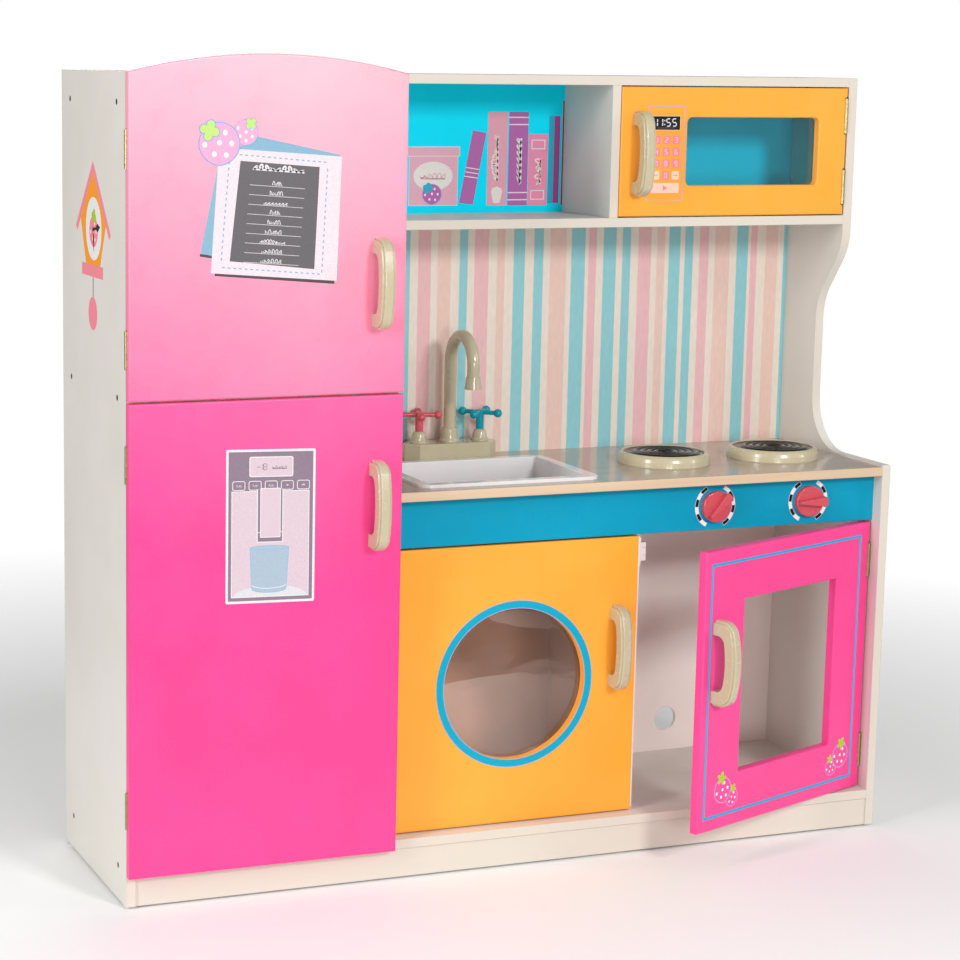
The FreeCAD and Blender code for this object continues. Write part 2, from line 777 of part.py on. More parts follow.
def make_upper_fridge_door():
    """The arched upper door of the fridge, lying over the cabinet's front edges."""
    door = body("upper_fridge_door")
    bottom = fridge_door_split + fridge_door_gap
    corner = upper_fridge_corner - bottom
    half = fridge_door_width / 2
    drawing = sketch(door, "XZ_Plane", "upper_fridge_outline")
    span = half.value
    rise = arch_rise.value
    radius = (span * span + rise * rise) / (2 * rise)
    top = corner.value
    crown = Vector(span, top + rise, 0)
    drawing.addGeometry(Part.LineSegment(Vector(0, top, 0), Vector(0, 0, 0)), False)
    drawing.addGeometry(Part.LineSegment(Vector(0, 0, 0), Vector(2 * span, 0, 0)), False)
    drawing.addGeometry(Part.LineSegment(Vector(2 * span, 0, 0), Vector(2 * span, top, 0)), False)
    drawing.addGeometry(Part.Arc(Vector(2 * span, top, 0), crown, Vector(0, top, 0)), False)
    for first, second in ((0, 1), (1, 2)):
        drawing.addConstraint(Sketcher.Constraint("Coincident", first, 2, second, 1))
    drawing.addConstraint(Sketcher.Constraint("Coincident", 2, 2, 3, 1))
    drawing.addConstraint(Sketcher.Constraint("Coincident", 3, 2, 0, 1))
    pin_point(drawing, 0, 1, 0, corner)
    pin_point(drawing, 1, 1, 0, 0)
    pin_point(drawing, 2, 1, fridge_door_width, 0)
    pin_point(drawing, 2, 2, fridge_door_width, corner)
    index = drawing.addConstraint(Sketcher.Constraint("Radius", 3, radius))
    bind(drawing, "Constraints[" + str(index) + "]",
         (half * half + arch_rise * arch_rise) / (2 * arch_rise))
    pad(door, drawing, "upper_fridge_pad", door_board)
    round_edges(door, "upper_fridge_rounding", door_edge_radius, lies_at("y", -door_board))
    blind_notches(door, "upper_fridge", bottom)
    place(door, left, fridge_door_back, bottom)
    return door


def make_lower_fridge_door():
    door = body("lower_fridge_door")
    drawing = sketch(door, "XZ_Plane", "lower_fridge_outline")
    rectangle(drawing, 0, 0, fridge_door_width, fridge_door_split - lower_fridge_bottom)
    pad(door, drawing, "lower_fridge_pad", door_board)
    round_edges(door, "lower_fridge_rounding", door_edge_radius, lies_at("y", -door_board))
    blind_notches(door, "lower_fridge", lower_fridge_bottom)
    place(door, left, fridge_door_back, lower_fridge_bottom)
    return door


def make_washer_door():
    """The washer's door, inset beside the fridge, with a round window."""
    door = body("washer_door")
    height = low_door_top - low_door_bottom
    drawing = sketch(door, "XZ_Plane", "washer_outline")
    rectangle(drawing, 0, 0, low_door_width, height)
    pad(door, drawing, "washer_pad", door_board)
    window = sketch(door, "XZ_Plane", "porthole")
    circle(window, low_door_width / 2, height / 2, porthole_radius)
    cut(door, window, "porthole_pocket")
    round_edges(door, "washer_rounding", door_edge_radius, lies_at("y", -door_board))
    hinge_notches(door, "washer", Size.of(0), low_door_bottom, 1)
    place(door, kitchen_left + overlay_gap, low_back, low_door_bottom)
    return door


def make_oven_door():
    """The oven's door, inset, hinged on the right, with an open window."""
    door = body("oven_door")
    drawing = sketch(door, "XZ_Plane", "oven_outline")
    rectangle(drawing, 0, 0, low_door_width, low_door_top - low_door_bottom)
    pad(door, drawing, "oven_pad", door_board)
    window = sketch(door, "XZ_Plane", "oven_window")
    rectangle(window, oven_window_left, oven_window_sill - low_door_bottom,
              oven_window_width, oven_window_height)
    cut(door, window, "oven_window_pocket")
    round_edges(door, "oven_rounding", door_edge_radius, lies_at("y", -door_board))
    hinge_notches(door, "oven", low_door_width, low_door_bottom, -1)
    place_on_oven_door(door, oven_door_left, low_back, low_door_bottom)
    return door


def make_microwave_door():
    door = body("microwave_door")
    drawing = sketch(door, "XZ_Plane", "microwave_outline")
    rectangle(drawing, 0, 0, microwave_door_width, microwave_door_top - microwave_door_bottom)
    pad(door, drawing, "microwave_pad", door_board)
    window = sketch(door, "XZ_Plane", "microwave_window_outline")
    sill = microwave_window_sill - microwave_door_bottom
    rounded_rectangle(window, microwave_window_left, sill, microwave_window_width,
                      microwave_window_height, microwave_window_radius)
    cut(door, window, "microwave_window_pocket")
    round_edges(door, "microwave_rounding", door_edge_radius, lies_at("y", -door_board))
    hinge_notches(door, "microwave", microwave_door_width, microwave_door_bottom, -1)
    place(door, kitchen_right - overlay_gap - microwave_door_width, hutch_front + door_board,
          microwave_door_bottom)
    return door


oven_door_left = kitchen_right - overlay_gap - low_door_width
microwave_door_left = kitchen_right - overlay_gap - microwave_door_width
keep(make_upper_fridge_door(), make_lower_fridge_door(), make_washer_door(), make_oven_door(),
     make_microwave_door())

# clear films behind the two glazed windows
washer_middle_x = kitchen_left + overlay_gap + low_door_width / 2
washer_middle_z = (low_door_bottom + low_door_top) / 2
washer_film = body("washer_window_film")
film_outline = sketch(washer_film, "XZ_Plane", "washer_film_outline")
circle(film_outline, 0, 0, porthole_radius + film_margin)
pad(washer_film, film_outline, "washer_film_pad", film_thickness)
place(washer_film, washer_middle_x, low_back + film_thickness, washer_middle_z)
keep(washer_film)
keep(box("microwave_window_pane", microwave_door_left + microwave_window_left - film_margin,
         hutch_front + door_board, microwave_window_sill - film_margin,
         microwave_window_width + 2 * film_margin, film_thickness * 2,
         microwave_window_height + 2 * film_margin))


# ---------------------------------------------------------------- handles

def bow(drawing, reach, half_height, shoulder, curve, back=0):
    """A handle's outline seen from the side: a D with round shoulders and a bulging front."""
    run = root((curve - shoulder) * (curve - shoulder) - (half_height - shoulder) * (half_height - shoulder))
    shoulder_x = curve - reach - run
    share = curve / (curve - shoulder)
    meet_x = curve - reach - run * share
    meet_y = (half_height - shoulder) * share
    turn = math.atan2((half_height - shoulder).value, run.value) / 2 + math.pi / 4
    bulge = Vector(shoulder_x.value - shoulder.value * math.cos(turn),
                   (half_height - shoulder).value + shoulder.value * math.sin(turn), 0)
    nose = Vector(-reach.value, 0, 0)
    outline(drawing,
            [(back, -half_height), (shoulder_x, -half_height), (meet_x, -meet_y), (meet_x, meet_y),
             (shoulder_x, half_height), (back, half_height)],
            {1: (shoulder, Vector(bulge.x, -bulge.y, 0)), 2: (curve, nose), 3: (shoulder, bulge)})


HANDLE_RIDGE_ROUNDING = 1.6
HANDLE_EDGE_ROUNDING = 0.8


def make_handle(label):
    """A bow handle with a ridge round its outside. Local: back on y = 0, centred on x = 0 and z = 0."""
    grip = body(label)
    half_height = handle_height / 2
    plate = sketch(grip, "YZ_Plane", label + "_outline")
    bow(plate, handle_reach - handle_ridge_rise, half_height - handle_ridge_rise,
        handle_shoulder - handle_ridge_rise, handle_curve - handle_ridge_rise)
    pad(grip, plate, label + "_pad", handle_width, midplane=True)
    ridge = sketch(grip, "YZ_Plane", label + "_ridge")
    bow(ridge, handle_reach, half_height, handle_shoulder, handle_curve)
    pad(grip, ridge, label + "_ridge_pad", handle_ridge_width, midplane=True)
    gap = sketch(grip, "YZ_Plane", label + "_gap")
    bow(gap, handle_clearance, half_height - handle_foot, handle_gap_corner,
        handle_curve - handle_reach + handle_clearance, back=1)
    cut(grip, gap, label + "_gap_pocket")

    def on_ridge(edge):
        limits = edge.BoundBox
        sideways = [lies_at("x", side * handle_ridge_width / 2)(edge) for side in (-1, 1)]
        reaches = abs(limits.YMin + handle_reach.value) < 1e-3
        crowns = max(abs(limits.ZMin), abs(limits.ZMax)) > half_height.value - 1e-3
        return any(sideways) and (reaches or crowns)

    def on_plate(edge):
        sideways = [lies_at("x", side * handle_width / 2)(edge) for side in (-1, 1)]
        return any(sideways) and not lies_at("y", 0)(edge)

    round_edges(grip, label + "_ridge_rounding", HANDLE_RIDGE_ROUNDING, on_ridge)
    round_edges(grip, label + "_edge_rounding", HANDLE_EDGE_ROUNDING, on_plate)
    return grip


handle_places = {
    "upper_fridge_handle": (left + 310.5, fridge_door_back - door_board, Size.of(753)),
    "lower_fridge_handle": (left + 310.5, fridge_door_back - door_board, Size.of(484.5)),
    "washer_handle": (left + 660, low_front, Size.of(275)),
    "oven_handle": (left + 719, low_front, Size.of(275)),
    "microwave_handle": (left + 725, hutch_front, Size.of(901))}
for label, (x, y, z) in handle_places.items():
    handle = make_handle(label)
    if label == "oven_handle":
        place_on_oven_door(handle, x, y, z)
    else:
        place(handle, x, y, z)
    keep(handle)


# ---------------------------------------------------------------- magnetic catches and strike plates

CATCH_WIDTH = 9.0
CATCH_DEPTH = 13.0
CATCH_HEIGHT = 24.0
CATCH_FLANGE = 2.0
CATCH_FLANGE_HEIGHT = 38.0
CATCH_WALL = 2.0
CATCH_SLOT_HEIGHT = 3.0
CATCH_SLOT_DEPTH = 1.0
CATCH_SLOT_OFFSETS = (-6.0, 3.0)
STRIKE_THICKNESS = 1.0
STRIKE_HEIGHT = 26.0
CATCH_AIR = 0.4
CATCH_SIDE_GAP = 0.5


def catch_shape(x, y, z, side):
    """A magnetic catch on an upright's face; side +1 when it stands out towards +X."""
    body_x = x if side > 0 else x - CATCH_WIDTH
    flange_x = x if side > 0 else x - CATCH_FLANGE
    case = Part.makeBox(CATCH_WIDTH, CATCH_DEPTH, CATCH_HEIGHT, Vector(body_x, y, z - CATCH_HEIGHT / 2))
    flange = Part.makeBox(CATCH_FLANGE, CATCH_DEPTH, CATCH_FLANGE_HEIGHT,
                          Vector(flange_x, y, z - CATCH_FLANGE_HEIGHT / 2))
    for offset in CATCH_SLOT_OFFSETS:
        slot = Part.makeBox(CATCH_WIDTH - 2 * CATCH_WALL, CATCH_SLOT_DEPTH, CATCH_SLOT_HEIGHT,
                            Vector(body_x + CATCH_WALL, y, z + offset))
        case = case.cut(slot)
    return case.fuse(flange).removeSplitter()


catch_places = {
    "upper_fridge": (fridge_inner, fridge_door_back, 870, -1),
    "lower_fridge": (fridge_inner, fridge_door_back, 420, -1),
    "washer": (divider_left, low_back, 394, -1),
    "oven": (divider_right, low_back, 394, 1),
    "microwave": (divider_right, hutch_front + door_board, 960, 1)}
catches = []
for door, (x, y, z, side) in catch_places.items():
    setback = STRIKE_THICKNESS + CATCH_AIR
    catches.append(catch_shape(x.value, y.value + setback, z, side))
keep(copies("magnetic_catches", catches))
for door, (x, y, z, side) in catch_places.items():
    plate_x = x + CATCH_SIDE_GAP if side > 0 else x - CATCH_WIDTH - CATCH_SIDE_GAP
    plate_z = Size.of(z - STRIKE_HEIGHT / 2)
    plate = box(door + "_strike_plate", plate_x, y, plate_z, CATCH_WIDTH, STRIKE_THICKNESS, STRIKE_HEIGHT)
    if door == "oven":
        place_on_oven_door(plate, plate_x, y, plate_z)
    keep(plate)


# ---------------------------------------------------------------- sink

SINK_FLOOR_ROUNDING = 3.0
SINK_RIM_ROUNDING = 1.4
DRAIN_RADIUS = 17.0
DRAIN_HEIGHT = 1.6


def make_sink_basin():
    """A drop-in bowl with a flat rim, moulded in one piece."""
    basin = body("sink_basin")
    rim = sketch(basin, "XY_Plane", "sink_rim_outline")
    rounded_rectangle(rim, 0, 0, sink_width, sink_depth, sink_corner_radius)
    pad(basin, rim, "sink_rim_pad", sink_rim_thickness)
    shell = sketch(basin, "XY_Plane", "sink_shell_outline", -sink_bowl_depth)
    margin = sink_rim_width - sink_wall
    rounded_rectangle(shell, margin, margin, sink_width - 2 * margin, sink_depth - 2 * margin,
                      sink_corner_radius - margin)
    pad(basin, shell, "sink_shell_pad", sink_bowl_depth)
    hollow = sketch(basin, "XY_Plane", "sink_hollow_outline", sink_rim_thickness)
    inner = sink_rim_width
    rounded_rectangle(hollow, inner, inner, sink_width - 2 * inner, sink_depth - 2 * inner,
                      sink_corner_radius - inner)
    cut(basin, hollow, "sink_hollow", sink_bowl_depth + sink_rim_thickness - sink_wall)
    round_edges(basin, "sink_floor_edge", SINK_FLOOR_ROUNDING,
                lies_at("z", sink_wall - sink_bowl_depth))
    round_edges(basin, "sink_rim_edge", SINK_RIM_ROUNDING, lies_at("z", sink_rim_thickness))
    place(basin, left + sink_centre_from_left - sink_width / 2, front + sink_front, counter_height)
    return basin


keep(make_sink_basin())
sink_middle_y = front + sink_front + sink_depth / 2
keep(cylinder("sink_drain", left + sink_centre_from_left, sink_middle_y,
              counter_height - sink_bowl_depth + sink_wall, Size.of(DRAIN_RADIUS), Size.of(DRAIN_HEIGHT)))


# ---------------------------------------------------------------- tap

tap_x = left + tap_centre_from_left
tap_y = front + tap_setback
deck_top = counter_height + deck_height
STEM_RADIUS = 5.2
TAP_PLAY = 0.1
DECK_ROUNDING = 1.8
# turned profiles as (radius, height)
BELL_PROFILE = [(11.7, 0), (11.9, 0.8), (11.7, 1.8), (10.9, 2.8), (10.2, 4.0), (9.9, 6.2), (9.4, 8.8),
                (8.7, 11.2), (7.8, 13.2), (6.9, 14.5), (6.0, 15.2)]
COLLAR_PROFILE = [(13.2, 0), (13.5, 1.0), (13.3, 2.4), (12.4, 3.6), (11.8, 5.0), (11.4, 8.5), (11.1, 13.0),
                  (10.8, 17.0), (10.3, 18.1), (9.6, 18.6)]
SPOUT_FOOT_LIFT = 2.0
SPOUT_MOUTH_HEIGHT = 596.5
NOZZLE_HEIGHT = 16.0
NOZZLE_MOUTH_RADIUS = 11.2
NOZZLE_TOP_RADIUS = 9.6
MOUTH_BORE_RADIUS = 8.5
MOUTH_BORE_DEPTH = 5.0
STEM_FOOT_LIFT = 1.5
STEM_CROWN = 3.5
CROSS_HEIGHT = 555.0
CROSS_ARM = 24.8
CROSS_BAR_RADIUS = 3.0
CROSS_BALL_RADIUS = 5.7


def make_tap_deck():
    """The raised base of the tap: a long block with cut corners."""
    deck = body("tap_deck")
    outline = sketch(deck, "XY_Plane", "deck_outline")
    half = deck_length / 2
    side = deck_width / 2
    polygon(outline, [
        (deck_corner - half, -side), (half - deck_corner, -side), (half, deck_corner - side),
        (half, side - deck_corner), (half - deck_corner, side), (deck_corner - half, side),
        (-half, side - deck_corner), (-half, deck_corner - side)])
    pad(deck, outline, "deck_pad", deck_height)
    round_edges(deck, "deck_top_edge", DECK_ROUNDING, lies_at("z", deck_height))
    place(deck, tap_x, tap_y, counter_height)
    return deck


def revolved(label, profile, bore):
    """A turned piece about Z through the given (radius, height) points, with a straight bore."""
    piece = body(label)
    drawing = sketch(piece, "XZ_Plane", label + "_profile")
    top = profile[-1][1]
    polygon(drawing, [(bore, profile[0][1])] + list(profile) + [(bore, top)])
    feature = piece.newObject("PartDesign::Revolution", label + "_turned")
    feature.Profile = drawing
    feature.ReferenceAxis = (drawing, ["V_Axis"])
    feature.Angle = 360
    doc.recompute()
    return piece


def make_tap_bell(label, x):
    bell = revolved(label, BELL_PROFILE, STEM_RADIUS + TAP_PLAY)
    place(bell, x, tap_y, deck_top)
    return bell


def make_spout_collar():
    collar = revolved("spout_collar", COLLAR_PROFILE, spout_radius + TAP_PLAY)
    place(collar, tap_x, tap_y, deck_top)
    return collar


def make_spout():
    """A swan-neck spout: two straight legs, a half ring and a flared nozzle."""
    foot = deck_top + SPOUT_FOOT_LIFT
    riser = cylinder("spout_riser", tap_x, tap_y, foot, spout_radius, spout_arc_height - foot)
    bend = doc.addObject("Part::Torus", "spout_bend")
    bind(bend, "Radius1", spout_reach / 2)
    bind(bend, "Radius2", spout_radius)
    bend.Angle3 = 180
    bend.Placement = Placement(Vector(0, 0, 0), Rotation(Vector(1, 1, 1), 120))
    place(bend, tap_x, tap_y - spout_reach / 2, spout_arc_height)
    mouth = Size.of(SPOUT_MOUTH_HEIGHT)
    drop_foot = mouth + NOZZLE_HEIGHT / 2
    drop = cylinder("spout_drop", tap_x, tap_y - spout_reach, drop_foot, spout_radius, spout_arc_height - drop_foot)
    nozzle = doc.addObject("Part::Cone", "spout_nozzle")
    nozzle.Radius1 = NOZZLE_MOUTH_RADIUS
    nozzle.Radius2 = NOZZLE_TOP_RADIUS
    nozzle.Height = NOZZLE_HEIGHT
    place(nozzle, tap_x, tap_y - spout_reach, mouth)
    whole = fuse("spout_solid", [riser, bend, drop, nozzle])
    hollow = cylinder("spout_mouth", tap_x, tap_y - spout_reach, mouth - OVERCUT, Size.of(MOUTH_BORE_RADIUS),
                      Size.of(MOUTH_BORE_DEPTH + OVERCUT))
    return subtract("tap_spout", whole, hollow)


def make_cross_handle(label, x, angle):
    """A cross handle: a stem, two bars and a ball on each end, its seam turned away from the bar."""
    centre = Size.of(CROSS_HEIGHT)
    foot = deck_top + STEM_FOOT_LIFT
    stem = cylinder(label + "_stem", x, tap_y, foot, Size.of(STEM_RADIUS), centre + STEM_CROWN - foot)
    pieces = [stem]
    for number, turn in enumerate((angle, angle + 90)):
        bar = doc.addObject("Part::Cylinder", label + "_bar" + str(number))
        bar.Radius = CROSS_BAR_RADIUS
        bar.Height = 2 * CROSS_ARM
        along = Rotation(Vector(0, 0, 1), turn).multVec(Vector(1, 0, 0))
        bar.Placement = Placement(Vector(), Rotation(Vector(0, 0, 1), along))
        place(bar, x - CROSS_ARM * along.x, tap_y - CROSS_ARM * along.y, centre)
        pieces.append(bar)
        for side in (-1, 1):
            ball = doc.addObject("Part::Sphere", label + "_ball" + str(number) + ("a" if side < 0 else "b"))
            ball.Radius = CROSS_BALL_RADIUS
            ball.Placement = Placement(Vector(), Rotation(Vector(0, 0, 1), turn if side > 0 else turn + 180))
            place(ball, x + side * CROSS_ARM * along.x, tap_y + side * CROSS_ARM * along.y, centre)
            pieces.append(ball)
    return fuse(label, pieces)


keep(make_tap_deck(), make_tap_bell("hot_tap_bell", tap_x - tap_spacing),
     make_tap_bell("cold_tap_bell", tap_x + tap_spacing), make_spout_collar(), make_spout(),
     make_cross_handle("hot_tap_handle", tap_x - tap_spacing, -17),
     make_cross_handle("cold_tap_handle", tap_x + tap_spacing, -43))


# ---------------------------------------------------------------- hob

BURNER_DISH = 3.0


def make_burner(side):
    """A raised dish with a round lip; the coil plate lies in it."""
    name = "left" if side < 0 else "right"
    x = left + hob_centre_from_left + side * burner_spacing
    y = front + burner_setback
    ring = body(name + "_burner_ring")
    drawing = sketch(ring, "XZ_Plane", name + "_burner_profile")
    lip = coil_radius + 1.2
    polygon(drawing, [(0, 0), (burner_radius - 0.4, 0), (burner_radius, 1.0),
                      (burner_radius - 0.4, burner_height - 8), (burner_radius - 1.4, burner_height - 4.4),
                      (burner_radius - 2.8, burner_height - 2.0), (burner_radius - 4.6, burner_height - 0.6),
                      (burner_radius - 6.4, burner_height), (lip + 0.6, burner_height - 0.2),
                      (lip, burner_height - 0.9), (lip, burner_height - BURNER_DISH),
                      (0, burner_height - BURNER_DISH)])
    feature = ring.newObject("PartDesign::Revolution", name + "_burner_turned")
    feature.Profile = drawing
    feature.ReferenceAxis = (drawing, ["V_Axis"])
    feature.Angle = 360
    doc.recompute()
    place(ring, x, y, counter_height)
    plate = cylinder(name + "_burner_coil", x, y, counter_height + burner_height - BURNER_DISH, coil_radius,
                     coil_thickness)
    return ring, plate


for side in (-1, 1):
    keep(*make_burner(side))


KNOB_RIM_ROUNDING = 1.5
KNOB_GRIP_ROUNDING = 1.2
KNOB_TAIL_HALF = 2.2
KNOB_TIP_HALF = 6.4
KNOB_NOSE_HALF = 3.5
KNOB_SHAFT_LENGTH = 20
KNOB_BARB_LENGTH = 4
KNOB_BARB_RISE = 1.2


def make_knob(side):
    """A control knob: a disc with a wedge grip, and a shaft through the fascia."""
    name = "left" if side < 0 else "right"
    angle = left_knob_angle if side < 0 else right_knob_angle
    knob = body(name + "_hob_knob")
    disc = sketch(knob, "XZ_Plane", name + "_knob_disc")
    circle(disc, 0, 0, knob_radius)
    pad(knob, disc, name + "_knob_disc_pad", knob_disc)
    round_edges(knob, name + "_knob_rim", KNOB_RIM_ROUNDING, lies_at("y", -knob_disc))
    grip = sketch(knob, "XZ_Plane", name + "_knob_grip", knob_disc - 1)
    tail = knob_radius - 2.5
    tip = knob_radius + 1.5
    cheek = tip - 3
    polygon(grip, [(-tail, -KNOB_TAIL_HALF), (cheek, -KNOB_TIP_HALF), (tip, -KNOB_NOSE_HALF),
                   (tip, KNOB_NOSE_HALF), (cheek, KNOB_TIP_HALF), (-tail, KNOB_TAIL_HALF)])
    pad(knob, grip, name + "_knob_grip_pad", knob_grip + 1)
    round_edges(knob, name + "_knob_grip_edge", KNOB_GRIP_ROUNDING, lies_at("y", -knob_disc - knob_grip))
    shaft = sketch(knob, "XZ_Plane", name + "_knob_shaft", Size.of(-KNOB_SHAFT_LENGTH))
    circle(shaft, 0, 0, knob_shaft_radius)
    pad(knob, shaft, name + "_knob_shaft_pad", Size.of(KNOB_SHAFT_LENGTH + 1))
    barb = sketch(knob, "XZ_Plane", name + "_knob_barb", Size.of(-KNOB_SHAFT_LENGTH))
    circle(barb, 0, 0, knob_shaft_radius + KNOB_BARB_RISE)
    pad(knob, barb, name + "_knob_barb_pad", Size.of(KNOB_BARB_LENGTH))
    knob.Placement = Placement(Vector(), Rotation(Vector(0, 1, 0), 0))
    bind(knob, "Placement.Rotation.Angle", angle)
    place(knob, left + knobs_centre_from_left + side * knob_spacing, low_front - running_clearance,
          knob_height)
    return knob


keep(make_knob(-1), make_knob(1))


# ---------------------------------------------------------------- check and write

doc.recompute()
for thing in doc.Objects:
    if "Invalid" in thing.State or "Error" in thing.State:
        raise ValueError(thing.Label + " failed: " + str(thing.State))
os.makedirs("parts", exist_ok=True)
for node in nodes:
    if node.Shape.isNull() or not node.Shape.isValid():
        raise ValueError(node.Label + " has no valid shape")
    node.Shape.exportStep("parts/" + node.Label + ".step")
print(len(nodes), "nodes written")
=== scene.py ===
"""Looks of the toy kitchen: painted boards, printed pictures, moulded plastic, burner coils, screws and film.

The CAD nodes keep their shapes and get materials; prints, coils, screw heads, the edge band and the crinkled
film are pieces of their own. Sizes in this file are millimetres unless a name says otherwise.
"""
import json
import math
from functools import partial

import bmesh
import bpy
from mathutils import Matrix, Vector


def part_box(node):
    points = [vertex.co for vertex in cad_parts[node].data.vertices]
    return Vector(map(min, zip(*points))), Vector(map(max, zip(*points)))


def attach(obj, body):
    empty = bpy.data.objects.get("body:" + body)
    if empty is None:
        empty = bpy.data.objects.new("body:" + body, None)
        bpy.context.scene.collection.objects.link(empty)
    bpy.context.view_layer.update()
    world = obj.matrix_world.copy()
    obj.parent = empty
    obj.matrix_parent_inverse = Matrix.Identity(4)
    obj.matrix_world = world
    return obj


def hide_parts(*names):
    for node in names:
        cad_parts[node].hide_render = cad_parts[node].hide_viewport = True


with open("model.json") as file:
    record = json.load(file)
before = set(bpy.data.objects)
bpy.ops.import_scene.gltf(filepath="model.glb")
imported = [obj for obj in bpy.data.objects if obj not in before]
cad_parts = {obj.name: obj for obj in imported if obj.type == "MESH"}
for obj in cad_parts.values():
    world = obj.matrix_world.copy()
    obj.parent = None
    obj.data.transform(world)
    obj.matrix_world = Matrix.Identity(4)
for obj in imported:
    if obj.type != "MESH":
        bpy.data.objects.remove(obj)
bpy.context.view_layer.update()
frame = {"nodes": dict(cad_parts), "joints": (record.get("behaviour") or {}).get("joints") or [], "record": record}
JOINTS = {joint["name"]: joint for joint in frame["joints"]}

MM = 0.001
X, Y, Z = Vector((1, 0, 0)), Vector((0, 1, 0)), Vector((0, 0, 1))


# ---- camera, floor and light

def linear(red, green, blue):
    """A colour given as 0 to 255 display values, as the shader wants it."""
    def one(value):
        value /= 255
        return value / 12.92 if value <= 0.04045 else ((value + 0.055) / 1.055) ** 2.4
    return one(red), one(green), one(blue), 1.0


CAMERA_AT = (-1.31446, -3.01862, 1.01394)  # metres
CAMERA_YAW, CAMERA_PITCH, CAMERA_ROLL = 20.69, -9.675, 0.685  # degrees
SENSOR_MM, LENS_MM, SHIFT_X = 36, 92.11, 0.1667

LIGHTS = (  # name, place, target, size (all in metres), power in watts
    ("key", (0.45, -3.0, 1.70), (0.0, -0.2, 0.5), (0.5, 0.5), 41),
    ("left_strip", (-2.6, -1.3, 1.3), (-0.3, -0.2, 0.5), (0.6, 1.8), 43),
    ("low_fill", (-0.50, -3.3, 0.80), (0.15, 0.0, 0.45), (0.8, 0.5), 19),
    ("rear_soft", (0.4, 3.0, 1.8), (0.0, 0.2, 0.5), (1.2, 1.2), 16),
    ("right_strip", (2.5, -1.9, 1.5), (0.2, -0.2, 0.5), (0.5, 1.6), 14))
WORLD_STRENGTH = 0.36
FLOOR_SHADE, FLOOR_PALE = [0.93, 0.93, 0.93, 1], [0.96, 0.96, 0.96, 1]  # as the shader wants them
FLOOR_HALF, FLOOR_SOLID_TO, FLOOR_GONE_AT = 4.0, 0.75, 1.9  # metres


def add_object(name, data):
    made = bpy.data.objects.new(name, data)
    bpy.context.scene.collection.objects.link(made)
    return made


def make_camera():
    """Eye level just over the cabinet's top, to the left of its middle."""
    data = bpy.data.cameras.new("camera")
    data.sensor_width, data.lens, data.shift_x = SENSOR_MM, LENS_MM, SHIFT_X
    data.clip_start, data.clip_end = 0.05, 200
    camera = add_object("camera", data)
    camera.location = CAMERA_AT
    yaw, pitch, roll = (math.radians(angle) for angle in (CAMERA_YAW, CAMERA_PITCH, CAMERA_ROLL))
    level = Matrix.Rotation(-yaw, 4, "Z") @ Matrix.Rotation(math.pi / 2 + pitch, 4, "X")
    camera.rotation_euler = (level @ Matrix.Rotation(roll, 4, "Z")).to_euler()
    bpy.context.scene.camera = camera


def make_stage():
    """White world that the camera sees brighter than it lights, soft boxes, and a floor that fades out."""
    world = bpy.data.worlds.new("studio")
    world.use_nodes = True
    nodes, links = world.node_tree.nodes, world.node_tree.links
    lighting = nodes["Background"]
    lighting.inputs["Color"].default_value = (1, 1, 1, 1)
    lighting.inputs["Strength"].default_value = WORLD_STRENGTH
    backdrop = nodes.new("ShaderNodeBackground")
    backdrop.inputs["Color"].default_value = (1, 1, 1, 1)
    seen = nodes.new("ShaderNodeLightPath")
    either = nodes.new("ShaderNodeMixShader")
    links.new(seen.outputs["Is Camera Ray"], either.inputs[0])
    links.new(lighting.outputs[0], either.inputs[1])
    links.new(backdrop.outputs[0], either.inputs[2])
    links.new(either.outputs[0], nodes["World Output"].inputs["Surface"])
    bpy.context.scene.world = world
    bpy.context.scene.view_settings.view_transform = "Standard"
    for name, place, target, size, power in LIGHTS:
        data = bpy.data.lights.new(name, "AREA")
        data.shape, data.energy = "RECTANGLE", power
        data.size, data.size_y = size
        light = add_object(name, data)
        light.location = place
        light.rotation_euler = (Vector(target) - Vector(place)).to_track_quat("-Z", "Y").to_euler()

    mesh = bpy.data.meshes.new("floor")
    corners = [(x * FLOOR_HALF, y * FLOOR_HALF, 0) for x, y in ((-1, -1), (1, -1), (1, 1), (-1, 1))]
    mesh.from_pydata(corners, [], [(0, 1, 2, 3)])
    floor = add_object("floor", mesh)
    look = Look("floor_pale")
    look.colour(look.mix(look.noise(0.6, 3), FLOOR_SHADE, FLOOR_PALE))
    look.constants(Roughness=0.7)
    reach = look.add("VectorMath", [(0, look.place)], operation="LENGTH").outputs["Value"]
    look.drive("Alpha", look.ranged(reach, FLOOR_SOLID_TO, FLOOR_GONE_AT, 1.0, 0.0))
    mesh.materials.append(look.material)


# ---- materials

